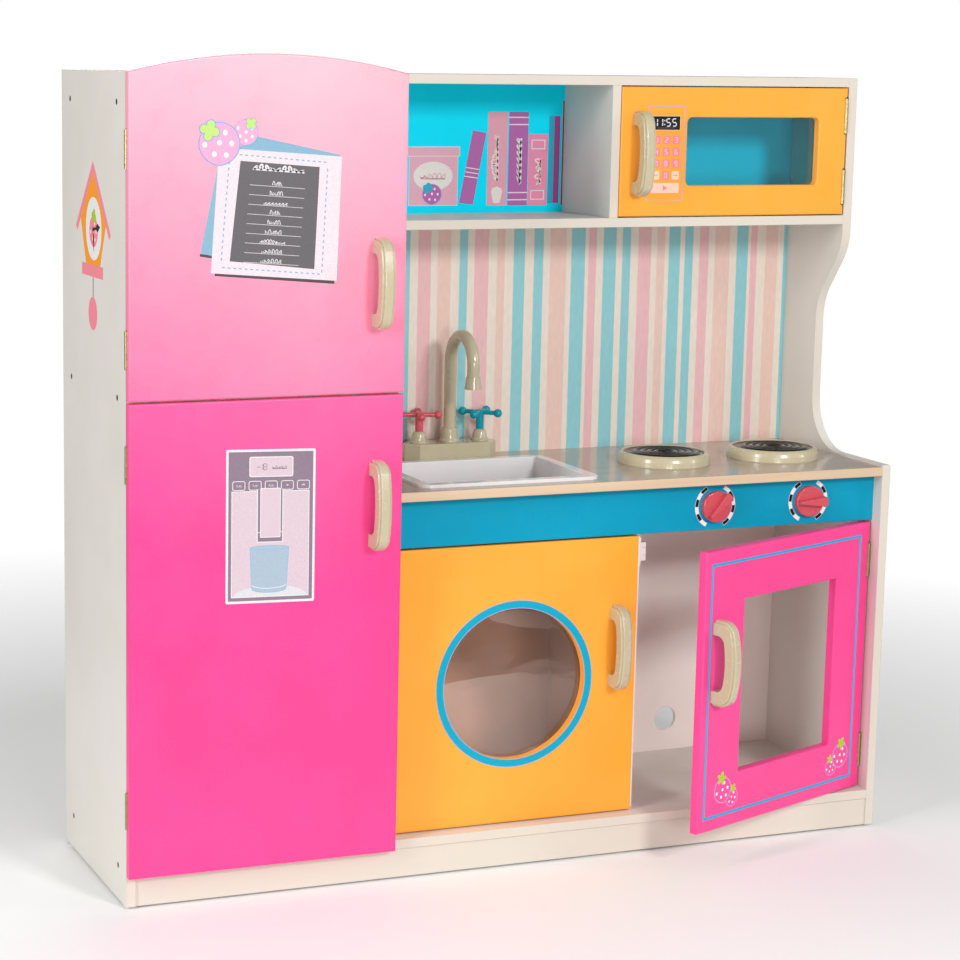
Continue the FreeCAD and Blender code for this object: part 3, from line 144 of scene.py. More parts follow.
class Look:
    """Builds one procedural material. Patterns lie in the object's own coordinates, in metres."""

    def __init__(self, name):
        self.material = bpy.data.materials.new(name)
        self.material.use_nodes = True
        self.tree = self.material.node_tree
        self.shader = self.tree.nodes["Principled BSDF"]
        self.place = self.add("TexCoord").outputs["Object"]

    def add(self, kind, links=(), **values):
        """A shader node: links are sockets with what they are linked or set to, values are its settings."""
        node = self.tree.nodes.new("ShaderNode" + kind)
        for name, value in values.items():
            setattr(node, name, value)
        for socket, value in links:
            if isinstance(value, bpy.types.NodeSocket):
                self.tree.links.new(value, node.inputs[socket])
            else:
                node.inputs[socket].default_value = value
        return node

    def math(self, operation, a, b=0.0):
        return self.add("Math", [(0, a), (1, b)], operation=operation).outputs[0]

    def noise(self, scale, detail, stretch=None, distortion=0.0):
        place = self.place
        if stretch:
            place = self.add("Mapping", [("Vector", place), ("Scale", stretch)]).outputs[0]
        links = [("Vector", place), ("Scale", scale), ("Detail", detail), ("Distortion", distortion)]
        return self.add("TexNoise", links).outputs["Fac"]

    def ranged(self, value, low, high, out_low=0.0, out_high=1.0):
        links = [("Value", value), ("From Min", low), ("From Max", high), ("To Min", out_low), ("To Max", out_high)]
        return self.add("MapRange", links).outputs[0]

    def mix(self, factor, a, b):
        """From colour a to colour b; a colour is a socket or 0 to 255 display values."""
        a, b = (linear(*c) if isinstance(c, tuple) else c for c in (a, b))
        return self.add("Mix", [(0, factor), (6, a), (7, b)], data_type="RGBA").outputs[2]

    def part(self, axis):
        """One coordinate of the place, in metres."""
        return self.add("SeparateXYZ", [(0, self.place)]).outputs["XYZ".index(axis)]

    def edges(self, radius_mm):
        """1 along sharp edges, 0 on flat faces, and the rounded normal."""
        rounded = self.add("Bevel", [("Radius", radius_mm * MM)], samples=6).outputs[0]
        flat = self.add("NewGeometry").outputs["Normal"]
        same = self.add("VectorMath", [(0, rounded), (1, flat)], operation="DOT_PRODUCT").outputs["Value"]
        return self.ranged(same, 0.995, 0.88), rounded

    def drive(self, socket, value):
        self.tree.links.new(value, self.shader.inputs[socket])

    def colour(self, value):
        self.drive("Base Color", value)

    def roughness(self, pattern, low, high):
        """Roughness that follows a noise pattern from low to high."""
        self.drive("Roughness", self.ranged(pattern, 0.3, 0.7, low, high))

    def bump(self, height, depth_mm, normal=None):
        links = [("Height", height), ("Distance", depth_mm * MM), ("Strength", 1.0)]
        if normal is not None:
            links.append(("Normal", normal))
        self.drive("Normal", self.add("Bump", links).outputs[0])

    def constants(self, **values):
        for name, value in values.items():
            self.shader.inputs[name.replace("_", " ")].default_value = value


PEARL = [1.0, 0.98, 0.9, 1]  # as the shader wants it
GLARE_VEIL_STRENGTH = 0.075


def painted(name, body, shade, wear_and_edge_sheen, roughness, gloss=0.45, painted_sheen=None, front_cream_and_shade=None):
    """Lacquered board: mottled paint, orange peel, softened edges with the paint scuffed thin here and there and a
    painted highlight along them.
    """
    look = Look(name)
    edge, rounded = look.edges(1.1)
    paint = look.mix(look.ranged(look.noise(7, 4), 0.35, 0.65), body, shade)
    if painted_sheen:
        # painted sheen: paler with height, the more so near x = -0.30 m
        low, high, sheen_colour = painted_sheen
        across = look.math("MULTIPLY", look.math("ABSOLUTE", look.math("ADD", look.part("X"), 0.30)), 0.45)
        sheen_rise = look.math("SUBTRACT", look.part("Z"), across)
        paint = look.mix(look.ranged(sheen_rise, low, high), paint, sheen_colour)
    # faces turned to the front take a darker, warmer tone: partly the cream of the boards' painted edges, partly
    # painted shade that tones the brightly lit fronts down
    if front_cream_and_shade:
        facing = look.add("SeparateXYZ", [(0, look.add("NewGeometry").outputs["Normal"])])
        paint = look.mix(look.ranged(facing.outputs[1], -0.6, -0.95), paint, front_cream_and_shade)
    paint = look.mix(look.ranged(look.noise(520, 2), 0.58, 0.75, 0.0, 0.06), paint, wear_and_edge_sheen)
    # along the edges: scuffs where the noise is high, and a painted highlight line all along them on doors and
    # coloured boards; on white boards a dirty beige line
    scuffs_and_edge_sheen = look.math("MULTIPLY", edge, look.ranged(look.noise(60, 4), 0.5, 0.72, 0.18, 0.95))
    look.colour(look.mix(scuffs_and_edge_sheen, paint, wear_and_edge_sheen))
    look.roughness(look.noise(35, 3), roughness - 0.05, roughness + 0.07)
    look.bump(look.noise(420, 2), 0.015, rounded)
    look.constants(Specular_IOR_Level=gloss)
    return look.material


def moulded(name, body, shade, roughness=0.2, grain_mm=0.004, pearl=0.0, coat=0.6, level=0.5):
    """Injection-moulded plastic with faint flow marks, a fine surface grain and perhaps a pearl glitter."""
    look = Look("plastic_" + name)
    flow = look.noise(38, 3, (1, 1, 0.35), 0.6)
    tone = look.mix(look.ranged(flow, 0.3, 0.7), body, shade)
    if pearl:
        tone = look.mix(look.ranged(look.noise(2600, 1), 0.6, 0.8, 0.0, pearl), tone, PEARL)
    look.colour(tone)
    look.roughness(look.noise(90, 3), roughness - 0.04, roughness + 0.06)
    look.bump(look.noise(400, 2), grain_mm)
    look.constants(Coat_Weight=coat, Coat_Roughness=0.08, Specular_IOR_Level=level)
    return look.material


def metal(name, body, shade, roughness=0.3):
    """Plated steel with faint scratches."""
    look = Look("steel_" + name)
    look.colour(look.mix(look.noise(140, 4), body, shade))
    lines = look.noise(900, 2)
    look.roughness(lines, roughness - 0.08, roughness + 0.12)
    look.bump(lines, 0.01)
    look.constants(Metallic=1.0)
    return look.material


def ink(name, body):
    """Printing ink: its own colour with a fine dot grain."""
    look = Look("ink_" + name)
    dots = look.ranged(look.noise(1500, 1), 0.4, 0.6)
    look.colour(look.mix(dots, body, tuple(value * 0.93 for value in body)))
    look.roughness(look.noise(200, 2), 0.37, 0.47)
    look.constants(Specular_IOR_Level=0.2)
    return look.material


def see_through(name, tint, gloss, cloud, veil=None):
    """A thin clear sheet: lets light straight through, with a mirror-like skin, slight haze and perhaps a veil of
    painted glare.
    """
    look = Look(name)
    clear = look.add("BsdfTransparent", [("Color", tint)])
    skin = look.add("BsdfGlossy", [("Color", (1, 1, 1, 1)), ("Roughness", gloss)])
    haze = look.add("BsdfDiffuse", [("Color", cloud)])
    fresnel = look.add("Fresnel", [("IOR", 1.5)])
    haze_and_glare = look.ranged(look.noise(14, 4), 0.35, 0.75, 0.01, 0.05)
    # the veil adds painted glare as a lit haze
    if veil:
        haze_and_glare = look.math("ADD", haze_and_glare, veil(look))
    hazed = look.add("MixShader", [(0, haze_and_glare), (1, clear.outputs[0]), (2, haze.outputs[0])])
    both = look.add("MixShader", [(0, fresnel.outputs[0]), (1, hazed.outputs[0]), (2, skin.outputs[0])])
    look.tree.links.new(both.outputs[0], look.tree.nodes["Material Output"].inputs["Surface"])
    look.tree.nodes.remove(look.shader)
    return look.material


def film_disc():
    """Middle, radius and front of the washer's film."""
    low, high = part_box("washer_window_film")
    return (low + high) / 2, (high.x - low.x) / 2, low.y


def film_glare_veil(look):
    """Painted glare: where the crumpled film turns milky to stand for glare. Lengths are in film radii from its
    middle.
    """
    plus, minus, times, over, most = (
        partial(look.math, kind) for kind in ("ADD", "SUBTRACT", "MULTIPLY", "DIVIDE", "MAXIMUM"))
    middle, radius, _ = film_disc()
    across = over(minus(look.part("X"), middle.x), radius)
    up = over(minus(look.part("Z"), middle.z), radius)
    ragged = look.ranged(look.noise(48, 4), 0.3, 0.7, -0.07, 0.07)

    def squared(value):
        return look.math("POWER", look.math("ABSOLUTE", value), 2.0)

    # painted glare below one long crease, which arches, drops on its right half and is ragged there
    crease_height, arch, right_drop = 0.11, -0.10, -0.17
    curve = plus(times(squared(across), arch), times(squared(most(across, 0.0)), right_drop))
    crease = plus(plus(curve, crease_height), times(ragged, look.ranged(across, -0.1, 0.5)))
    above = minus(up, crease)
    below = look.ranged(above, 0.004, -0.010)
    # a slanted lens of painted glare near the top
    (lens_across, lens_up), (half_length, half_height), slant = (0.22, 0.74), (0.52, 0.10), 0.16
    along = minus(across, lens_across)
    rise = plus(minus(up, lens_up), times(along, slant))
    lens = plus(squared(over(along, half_length)), squared(over(rise, half_height)))
    patch = look.ranged(plus(lens, times(ragged, 3.0)), 1.04, 0.96)
    # threads in a band over the crease, to the right
    band = times(look.ranged(above, 0.0, 0.004), look.ranged(above, 0.11, 0.09))
    wisps = look.noise(120, 3, (0.3, 1, 1), 1.2)
    threads = times(times(band, look.ranged(wisps, 0.52, 0.60)), look.ranged(across, 0.1, 0.3))
    milky_glare = most(most(below, times(patch, 0.8)), times(threads, 0.7))
    stronger_to_left = look.ranged(across, 0.5, -0.9, 0.35, 2.4)
    return times(times(milky_glare, stronger_to_left), GLARE_VEIL_STRENGTH)


def grained(name, body, shade, grain, gloss, bumps, depth_mm):
    """Printed film or paper: grain and bumps are settings of a noise, gloss two limits of roughness and a noise."""
    look = Look(name)
    look.colour(look.mix(look.ranged(look.noise(*grain), 0.35, 0.65), body, shade))
    look.roughness(look.noise(*gloss[2:]), *gloss[:2])
    look.bump(look.noise(*bumps), depth_mm)
    return look.material


def make_materials():
    """The record's material slots, and the variants that dress_nodes gives to single nodes."""
    return dict(
        white_board=painted("paint_white", (226, 222, 214), (221, 216, 207), (205, 190, 168), 0.38,
                            front_cream_and_shade=(210, 202, 189)),
        # painted light: the inside boards are a brighter, pinker copy of the white paint, standing in for the light
        # and warm bounce that reach the compartments
        inside_board_painted_light=painted("paint_white_inside_painted_light", (246, 238, 231), (243, 233, 225), (215, 200, 182), 0.45),
        blue_board=painted("paint_blue", (0, 218, 245), (0, 212, 239), (60, 205, 232), 0.33, gloss=0.1),
        cyan_board=painted("paint_turquoise", (0, 149, 182), (0, 143, 175), (120, 190, 205), 0.33, gloss=0.2),
        orange_board=painted("paint_orange", (250, 166, 55), (247, 160, 46), (255, 205, 130), 0.35),
        striped_board=painted("board_core", (214, 196, 170), (206, 187, 160), (190, 170, 140), 0.5),
        pink_board=painted("paint_pink", (243, 70, 146), (240, 64, 139), (255, 170, 205), 0.34),
        # painted sheen: the upper door is a lighter copy of the doors' pink, and paler still towards its top
        upper_pink_sheen=painted("paint_pink_upper_sheen", (250, 108, 158), (249, 102, 152), (255, 196, 214), 0.30,
                           painted_sheen=(0.50, 1.0, (252, 177, 190))),
        # painted sheen: the lower door turns paler towards its top
        lower_pink_sheen=painted("paint_pink_lower_sheen", (246, 64, 142), (243, 58, 135), (255, 170, 205), 0.34,
                           painted_sheen=(0.36, 0.58, (248, 90, 151))),
        worktop=grained("worktop_laminate", (178, 164, 152), (167, 152, 139), (9, 5, (0.35, 1, 1), 0.8),
                        (0.10, 0.18, 24, 4), (160, 3), 0.012),
        champagne_plastic=moulded("champagne", (192, 182, 151), (187, 177, 146), 0.24, 0.003, 0.05, coat=0.5),
        tap_plastic=moulded("champagne_tap", (186, 177, 148), (179, 170, 141), 0.22, 0.003, 0.1),
        red_plastic=moulded("red", (203, 78, 90), (199, 74, 86), 0.28, coat=0.35),
        teal_plastic=moulded("teal", (0, 152, 172), (0, 145, 165), coat=0.0, level=0.3),
        black_plastic=moulded("black", (7, 7, 8), (10, 9, 10), 0.08, 0.001, coat=0.0),
        white_plastic=moulded("white", (227, 224, 225), (224, 221, 222), 0.18, 0.003),
        # painted light: the film's warm tint stands in for warm bounce light from the orange door inside the cabinet
        clear_film=see_through("film_clear_warm_bounce", (0.95, 0.80, 0.71, 1), 0.02, (0.80, 0.72, 0.68, 1), film_glare_veil),
        smoked_pane=see_through("pane_smoked", (0.80, 0.98, 1.0, 1), 0.03, (0.10, 0.5, 0.6, 1)),
        hinge_steel=metal("brassed", (196, 176, 128), (160, 140, 98), 0.32),
        # painted shade: the side screws are darkened to stand for the shadow in their recessed holes
        side_screws=metal("hole_shade_dark", (84, 70, 58), (60, 50, 42), 0.45),
        screw_steel=metal("zinc", (190, 188, 184), (150, 148, 145)))


# ---- mesh tools

def loft(rows, wide, closed=False):
    """Polygons that join rows of points into a tube; its ends are capped unless it closes on itself."""
    polygons = []
    for i in range(rows if closed else rows - 1):
        here, there = wide * i, wide * ((i + 1) % rows)
        polygons += [(here + k, here + (k + 1) % wide, there + (k + 1) % wide, there + k) for k in range(wide)]
    if not closed:
        polygons += [tuple(range(wide)), tuple(reversed(range((rows - 1) * wide, rows * wide)))]
    return polygons


class Mesh:
    """A closed mesh with several materials, gathered piece by piece in metres."""

    def __init__(self, name):
        self.name = name
        self.bm = bmesh.new()
        self.materials = []

    def index(self, material):
        if material not in self.materials:
            self.materials.append(material)
        return self.materials.index(material)

    def faces(self, points, polygons, material, smooth=False):
        """Adds faces; material is one for all of them, or a list with one for each."""
        verts = [self.bm.verts.new(point) for point in points]
        materials = material if isinstance(material, list) else [material] * len(polygons)
        for polygon, its_material in zip(polygons, materials):
            face = self.bm.faces.new([verts[i] for i in polygon])
            face.material_index = self.index(its_material)
            face.smooth = smooth

    def object(self):
        """The gathered mesh as an object in the scene, its normals outward."""
        bmesh.ops.recalc_face_normals(self.bm, faces=self.bm.faces)
        mesh = bpy.data.meshes.new(self.name)
        self.bm.to_mesh(mesh)
        self.bm.free()
        for material in self.materials:
            mesh.materials.append(material)
        return add_object(self.name, mesh)

    def done(self, body, slot=None, replaces=(), smooth_below=None):
        """The piece itself; edges flatter than smooth_below degrees are shaded smooth."""
        made = self.object()
        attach(made, body)
        if replaces:
            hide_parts(*replaces)
        if smooth_below:
            made.data.shade_smooth()
            made.data.set_sharp_from_angle(angle=math.radians(smooth_below))


class Face:
    """A flat side of the object that is printed or screwed on: u to its right, v up, h out of it."""

    def __init__(self, origin, right):
        self.origin, self.right = Vector(origin), Vector(right)
        self.out = self.right.cross(Z)

    def at(self, u, v, h=0.0):
        return self.origin + (self.right * u + Z * v + self.out * h) * MM

    def raised(self, h):
        return Face(self.at(0, 0, h), self.right)

    def backside(self, thickness):
        """The opposite face of a board this thick; its u grows the other way in space."""
        return Face(self.at(0, 0, -thickness), -self.right)


def front_of(node):
    """The front of an upright board, from its lower left corner."""
    return Face(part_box(node)[0], X)


LAYER, FLOAT = 0.05, 0.02  # thickness of one printed layer, and the gap under the first


class Print(Mesh):
    """A printed picture: flat closed prisms of ink, each layer a hair above the one under it."""

    def __init__(self, name, face):
        super().__init__(name)
        self.face = face

    def index(self, material):
        """Slot of a material, or of an ink given by its name."""
        return super().index(INK.get(material, material))

    def fill(self, material, points, layer=0):
        high = FLOAT + LAYER * (layer + 1)
        ring = [self.face.at(u, v, h) for h in (high, FLOAT) for u, v in points]
        self.faces(ring, loft(2, len(points)), material)

    def outlined(self, material, line, points, width, layer=0):
        """A filled shape with a line round it."""
        self.fill(material, points, layer)
        self.ring(line, points, width, layer + 1)

    def ring(self, material, points, width, layer=0):
        self.stroke(material, points, width, layer, closed=True)

    def stroke(self, material, points, width, layer=0, closed=False):
        high = FLOAT + LAYER * (layer + 1)
        place = []
        for left, right in zip(*both_sides(points, width / 2, closed)):
            corners = (left, high), (right, high), (right, FLOAT), (left, FLOAT)
            place += [self.face.at(*spot, h) for spot, h in corners]
        self.faces(place, loft(len(points), 4, closed), material)


def both_sides(points, reach, closed):
    """The two lines that run beside a line, mitred at its corners."""
    count = len(points)
    spots = [Vector(point) for point in points]
    left, right = [], []
    for i, spot in enumerate(spots):
        arriving = spot - spots[i - 1] if closed or i else None
        leaving = spots[(i + 1) % count] - spot if closed or i < count - 1 else None
        arriving = (arriving or leaving).normalized()
        leaving = (leaving or arriving).normalized()
        normals = Vector((-arriving.y, arriving.x)), Vector((-leaving.y, leaving.x))
        middle = (normals[0] + normals[1]).normalized()
        step = middle * (reach / max(middle.dot(normals[0]), 0.4))
        left.append(spot + step)
        right.append(spot - step)
    return left, right


def arc(u, v, ru, rv, start, end, steps):
    """Points along part of an ellipse round (u, v), from one angle to another in degrees, ends included."""
    angles = [math.radians(start + (end - start) * i / steps) for i in range(steps + 1)]
    return [(u + ru * math.cos(a), v + rv * math.sin(a)) for a in angles]


def ellipse(u, v, ru, rv, steps=40):
    return arc(u, v, ru, rv, 0, 360, steps)[:-1]


def panel(u0, v0, u1, v1, radius=0.0):
    """A rectangle between two corners, its own corners rounded."""
    if not radius:
        return [(u0, v0), (u1, v0), (u1, v1), (u0, v1)]
    ring = []
    for cu, cv, start in ((u1 - radius, v0 + radius, -90), (u1 - radius, v1 - radius, 0),
                          (u0 + radius, v1 - radius, 90), (u0 + radius, v0 + radius, 180)):
        ring += arc(cu, cv, radius, radius, start, start + 90, 5)
    return ring


def scribble(u, v, width, height, loops):
    """A looping pen line that stands for a handwritten word."""
    line = []
    steps = loops * 10
    for i in range(steps + 1):
        t = i / steps
        a = math.tau * loops * t
        tall = height * (0.62 + 0.38 * math.sin(2.3 * a / loops * 3 + 1.0))
        line.append((u + width * t + 0.55 * height * math.sin(a), v + 0.5 * tall * (1 - math.cos(a))))
    return line


def turned(points):
    """The same line turned a quarter to the left about its first point."""
    cu, cv = points[0]
    return [(cu - (v - cv), cv + (u - cu)) for u, v in points]


def slope(points, slant, about=None):
    """A line that climbs by slant for each millimetre to the right of a place, or of its own start."""
    start = points[0][0] if about is None else about
    return [(u, v + (u - start) * slant) for u, v in points]


SEGMENTS = {"0": "abcdef", "1": "bc", "2": "abged", "3": "abgcd", "4": "fgbc", "5": "afgcd",
            "6": "afgedc", "7": "abc", "8": "abcdefg", "9": "abfgcd"}


def digit(art, material, character, u, v, height, width, layer):
    """A seven-segment figure, centred."""
    w, h, gap = 0.28 * height, height / 2, 0.10
    ends = {"a": ((-w, h), (w, h)), "b": ((w, h), (w, 0)), "c": ((w, 0), (w, -h)), "d": ((-w, -h), (w, -h)),
            "e": ((-w, 0), (-w, -h)), "f": ((-w, h), (-w, 0)), "g": ((-w, 0), (w, 0))}
    for segment in SEGMENTS[character]:
        start, end = (Vector((u, v)) + Vector(corner) for corner in ends[segment])
        art.stroke(material, [start.lerp(end, gap), end.lerp(start, gap)], width, layer)


def berry(art, inks, u, v, size, tilt=0.0, layer=0, seeds=6, leaf_at=(-0.48, 0.62), star=False):
    """A round strawberry: body, outline, dots for seeds, and a leaf in four round lobes or five pointed ones."""
    turn = math.radians(tilt)

    def spot(a, b):
        along, across = a * math.cos(turn) - b * math.sin(turn), a * math.sin(turn) + b * math.cos(turn)
        return u + size * along, v + size * across

    ring = [spot(a * (1 - 0.10 * max(0.0, -b) ** 2), 0.99 * b) for a, b in ellipse(0, 0, 1, 1, 44)]
    art.outlined(inks["flesh"], inks["outline"], ring, size * 0.055, layer)
    dots = ((0.28, 0.52), (0.0, 0.05), (0.6, 0.02), (-0.72, -0.05), (-0.25, -0.48), (0.34, -0.52), (-0.1, 0.6))
    for a, b in dots[:seeds]:
        art.fill(inks["seed"], ellipse(*spot(a, b), size * 0.115, size * 0.13, 14), layer + 1)
    a, b = leaf_at
    leaf = []
    for i in range(60):
        angle = math.tau * i / 60
        reach = 0.275 + 0.225 * abs(math.cos(2 * angle + 0.5)) ** 0.6
        if star:
            reach = 0.364 + 0.156 * math.cos(5 * angle + 0.4)
        leaf.append(spot(a + reach * math.cos(angle), b + reach * math.sin(angle)))
    art.outlined(inks["leaf"], inks["leaf_line"], leaf, size * 0.045, layer + 2)


# ---- inks

INK = {name: ink(name, colour) for name, colour in dict(
    white=(228, 224, 226), paper=(229, 215, 221), sky=(132, 175, 198), slate=(102, 98, 102),
    slate_line=(205, 198, 200), shadow=(78, 74, 78), stitch=(126, 172, 202), berry_pink=(248, 168, 202),
    berry_line=(136, 168, 218), seed=(250, 244, 236), leaf=(190, 222, 120), leaf_dark=(176, 202, 22),
    mauve=(140, 122, 138), lilac_white=(213, 193, 202), cup=(167, 185, 200), cup_line=(142, 186, 214),
    counter_grey=(212, 214, 216), lilac=(176, 160, 214), display=(24, 24, 30), key_pink=(255, 138, 150),
    key_pale=(252, 208, 190), figure=(255, 205, 205), line_blue=(26, 168, 214), oven_pink=(246, 84, 160),
    oven_outline=(168, 178, 232), roof_pink=(250, 140, 155), clock_orange=(255, 160, 0), black=(22, 22, 24),
    ring_blue=(8, 166, 194), jar_pink=(224, 168, 186), jar_line=(238, 214, 220), cream_label=(226, 220, 214),
    purple=(176, 100, 168), deep_purple=(160, 72, 140), book_pink=(230, 140, 172), book_rose=(226, 160, 178),
    teal_leaf=(40, 168, 196), red_edge=(190, 40, 70), white_plain=(240, 240, 240)
).items()}
BERRY = dict(flesh="berry_pink", outline="berry_line", seed="seed", leaf="leaf", leaf_line="berry_line")
OVEN_BERRY = dict(flesh="oven_pink", outline="oven_outline", seed="seed", leaf="leaf_dark", leaf_line="leaf")
CLOCK_BERRY = {**OVEN_BERRY, "flesh": "key_pink", "outline": "roof_pink", "leaf_line": "leaf_dark"}
JAR_BERRY = dict(flesh="purple", outline="berry_line", seed="white", leaf="teal_leaf", leaf_line="teal_leaf")



# ---- pictures on the doors and boards

def print_note():
    """The list on the upper fridge door: a pinned sheet over a blue one, with two strawberries."""
    art = Print("shopping_note_print", front_of("upper_fridge_door"))
    art.fill("shadow", [(86, 171), (101, 169), (101, 165.5), (85.5, 168)])
    art.fill("shadow", [(104, 149), (253.5, 136.5), (253.5, 132.8), (104, 145)])
    art.fill("sky", [(86.4, 171.4), (257.5, 136.5), (260.2, 284.6), (155.6, 306.3), (109, 280)], 1)
    art.fill("paper", [(99.3, 148.3), (256.4, 136.4), (261.1, 282.8), (108.6, 293.5)], 2)
    seam = [(111.1, 154.9), (237.2, 144.7), (243.5, 275.9), (122, 286.4)]
    dash, gap = 3.4, 3.6
    for start, end in zip(seam, seam[1:] + seam[:1]):
        run = Vector(end) - Vector(start)
        along = run.normalized()
        for k in range(int(run.length / (dash + gap))):
            a = Vector(start) + along * (k * (dash + gap) + gap / 2)
            art.stroke("stitch", [a, a + along * dash], 1.4, 3)
    art.fill("slate", [(122.3, 161.9), (227.7, 150.8), (233.1, 270.7), (134.9, 278.2)], 3)
    art.stroke("white", slope(scribble(150, 268.5, 64, 6.4, 9), -0.07), 1.9, 4)
    words = (13, 17, 30, 14, 17, 21, 32, 26, 27)
    for row, word in enumerate(words):
        share = row / (len(words) - 1)
        left, low = 146.3 - 7.1 * share, 250.6 - 89.9 * share
        art.stroke("slate_line", [(left, low), (left + 68.6, low - 5.2)], 0.7, 4)
        line = scribble(left + 34 - word / 2, low - 0.4, word, 4.6, max(3, word // 4))
        art.stroke("white", slope(line, -0.07), 0.75, 4)
    berry(art, BERRY, 141.2, 310.8, 15.0, tilt=-32, layer=4, seeds=7, leaf_at=(0.0, 0.80))
    berry(art, BERRY, 109, 297.8, 24.8, layer=8)
    art.done("upper_fridge_door")


def print_dispenser():
    """The ice-water dispenser printed on the lower fridge door."""
    art = Print("water_dispenser_print", front_of("lower_fridge_door"))
    middle = 176
    lean = partial(slope, slant=-0.026, about=middle)  # the print sits a little askew
    for material, corners, radius, layer in (
            ("white", (119.4, 329.6, 232.4, 516.4), 2.2, 0), ("mauve", (122.4, 332.6, 229.4, 513.4), 1.0, 1),
            ("white", (126.2, 336.8, 225.0, 466.2), 0, 2), ("lilac_white", (127.2, 337.8, 224.0, 465.2), 0, 3),
            ("white", (148.4, 483.0, 204.0, 507.6), 2.5, 2), ("lilac_white", (149.6, 484.2, 202.8, 506.4), 1.8, 3),
            ("white", (158.2, 403.4, 191.6, 468.6), 0, 4), ("mauve", (159.5, 404.6, 190.4, 468.5), 0, 5),
            ("white", (162.4, 409.4, 188.4, 469.6), 1.4, 6), ("lilac_white", (163.4, 410.4, 187.4, 468.6), 1.0, 7)):
        art.fill(material, lean(panel(*corners, radius)), layer)
    art.fill("counter_grey", lean(arc(middle, 337.8, 47, 13, 180, 0, 16)), 4)
    art.stroke("mauve", lean([(158.2, 495.0), (161.8, 495.0)]), 0.9, 4)
    for character, u in (("1", 163.4), ("8", 168.4)):
        digit(art, "mauve", character, u, 495.4, 7.4, 0.8, 4)
    art.stroke("mauve", lean(scribble(177, 492.6, 19, 3.6, 5)), 0.7, 4)
    for k in range(5):
        left = 127.6 + 20.45 * k
        art.ring("white", lean(panel(left, 467.4, left + 15.4, 478.0, 2.2)), 0.9, 3)
        if k < 3:
            art.stroke("lilac_white", lean(scribble(left + 4.2, 471.3, 7.4, 2.6, 3)), 0.6, 3)
        else:
            art.fill("lilac_white", lean(ellipse(left + 7.7, 472.7, 1.6 if k == 3 else 2.4, 1.0, 16)), 3)
    for left, right in ((159.5, 162.4), (188.4, 190.4)):
        art.stroke("white", lean([(left, 416), (right, 416)]), 0.8, 6)
    cup = ([(149.9, 397.2)] + arc(175, 397.2, 24.5, 2.4, 165, 15, 10) + [(199.0, 397.2), (196.0, 348)]
           + arc(174.2, 347.0, 22, 4.6, -15, -165, 10) + [(152.2, 348)])
    art.outlined("cup", "cup_line", lean(cup), 0.9, 5)
    art.stroke("cup_line", lean(arc(175, 397.0, 23.6, -2.6, 180, 0, 12)), 0.8, 6)
    art.stroke("white", lean(arc(174.2, 352.0, 21.4, 4.6, -180, 0, 12)), 0.9, 7)
    art.done("lower_fridge_door")


def print_clock():
    """The house-shaped clock with a bob on the left side panel."""
    low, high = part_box("left_side_panel")
    face = Face((low.x, high.y, low.z), -Y)
    art = Print("wall_clock_print", face)
    middle = 145.5
    art.fill("clock_orange", [(middle - 0.5, 877), (201, 816), (175.5, 765), (112, 765), (88, 818.5)])
    art.stroke("roof_pink", [(68.9, 805.8), (middle - 1, 883.5), (219.0, 802.9)], 9.0, 1)
    art.fill("white_plain", ellipse(147, 809, 35.0, 38.0, 48), 1)
    art.fill("roof_pink", panel(93.4, 750.6, 188.3, 765.2), 1)
    art.fill("slate_line", panel(middle - 4.0, 726, middle + 2.0, 750.6))
    art.fill("slate", panel(middle - 2.4, 726, middle - 0.6, 750.6), 1)
    art.fill("roof_pink", ellipse(142.2, 706, 19.6, 20.2, 36), 2)
    berry(art, CLOCK_BERRY, 147, 805.5, 18.5, layer=2, leaf_at=(0.08, 0.98))
    hub = (middle, 808)
    for tip, length, half_width in (((176, 812.5), 21, 5.2), ((147.5, 782), 26, 2.6)):
        tip = Vector(tip)
        run = (tip - Vector(hub)).normalized()
        side = Vector((-run.y, run.x)) * half_width
        neck, widest = tip - run * length, tip - run * length * 0.55
        art.stroke("black", [hub, neck + run], 3.2, 6)
        art.fill("black", [neck, widest - side, tip, widest + side], 6)
    art.fill("black", ellipse(*hub, 3.0, 3.0, 20), 7)
    art.done("cabinet")


def print_keypad():
    """Keypad and clock display of the microwave."""
    art = Print("microwave_keypad_print", front_of("microwave_door"))
    art.ring("lilac", panel(39.2, 19.6, 92.2, 142.0), 0.9)
    art.outlined("display", "white", panel(44.4, 111.8, 85.8, 129.6), 0.35)
    for character, u in (("1", 49.8), ("1", 57.4), ("5", 68.6), ("5", 77.4)):
        digit(art, "white", character, u, 121.4, 9.4, 1.5, 1)
    for v in (118.8, 123.8):
        art.fill("white", panel(62.2, v - 0.8, 63.8, v + 0.8), 1)
    art.stroke("slate", [(52, 114.4), (78, 114.4)], 0.7, 1)
    keys = ("123", "456", "789", " 0 ")
    for row, names in enumerate(keys):
        for column, character in enumerate(names):
            u, v = 52.3 + 14.45 * column, 98.8 - 15.2 * row
            shape = panel(u - 5.3, v - 5.5, u + 5.3, v + 5.5, 1.4)
            if character == " ":
                art.fill("key_pale", shape)
                art.stroke("key_pink", [(u - 3, v), (u + 3, v)], 1.2, 1)
            else:
                art.fill("key_pink", shape)
                digit(art, "figure", character, u, v, 6.2, 0.95, 1)
    art.fill("key_pale", panel(46.2, 30.4, 87.0, 43.4, 0.8))
    art.fill("key_pink", [(63.4, 33.4), (70.6, 36.9), (63.4, 40.4)], 1)
    art.done("microwave_door")


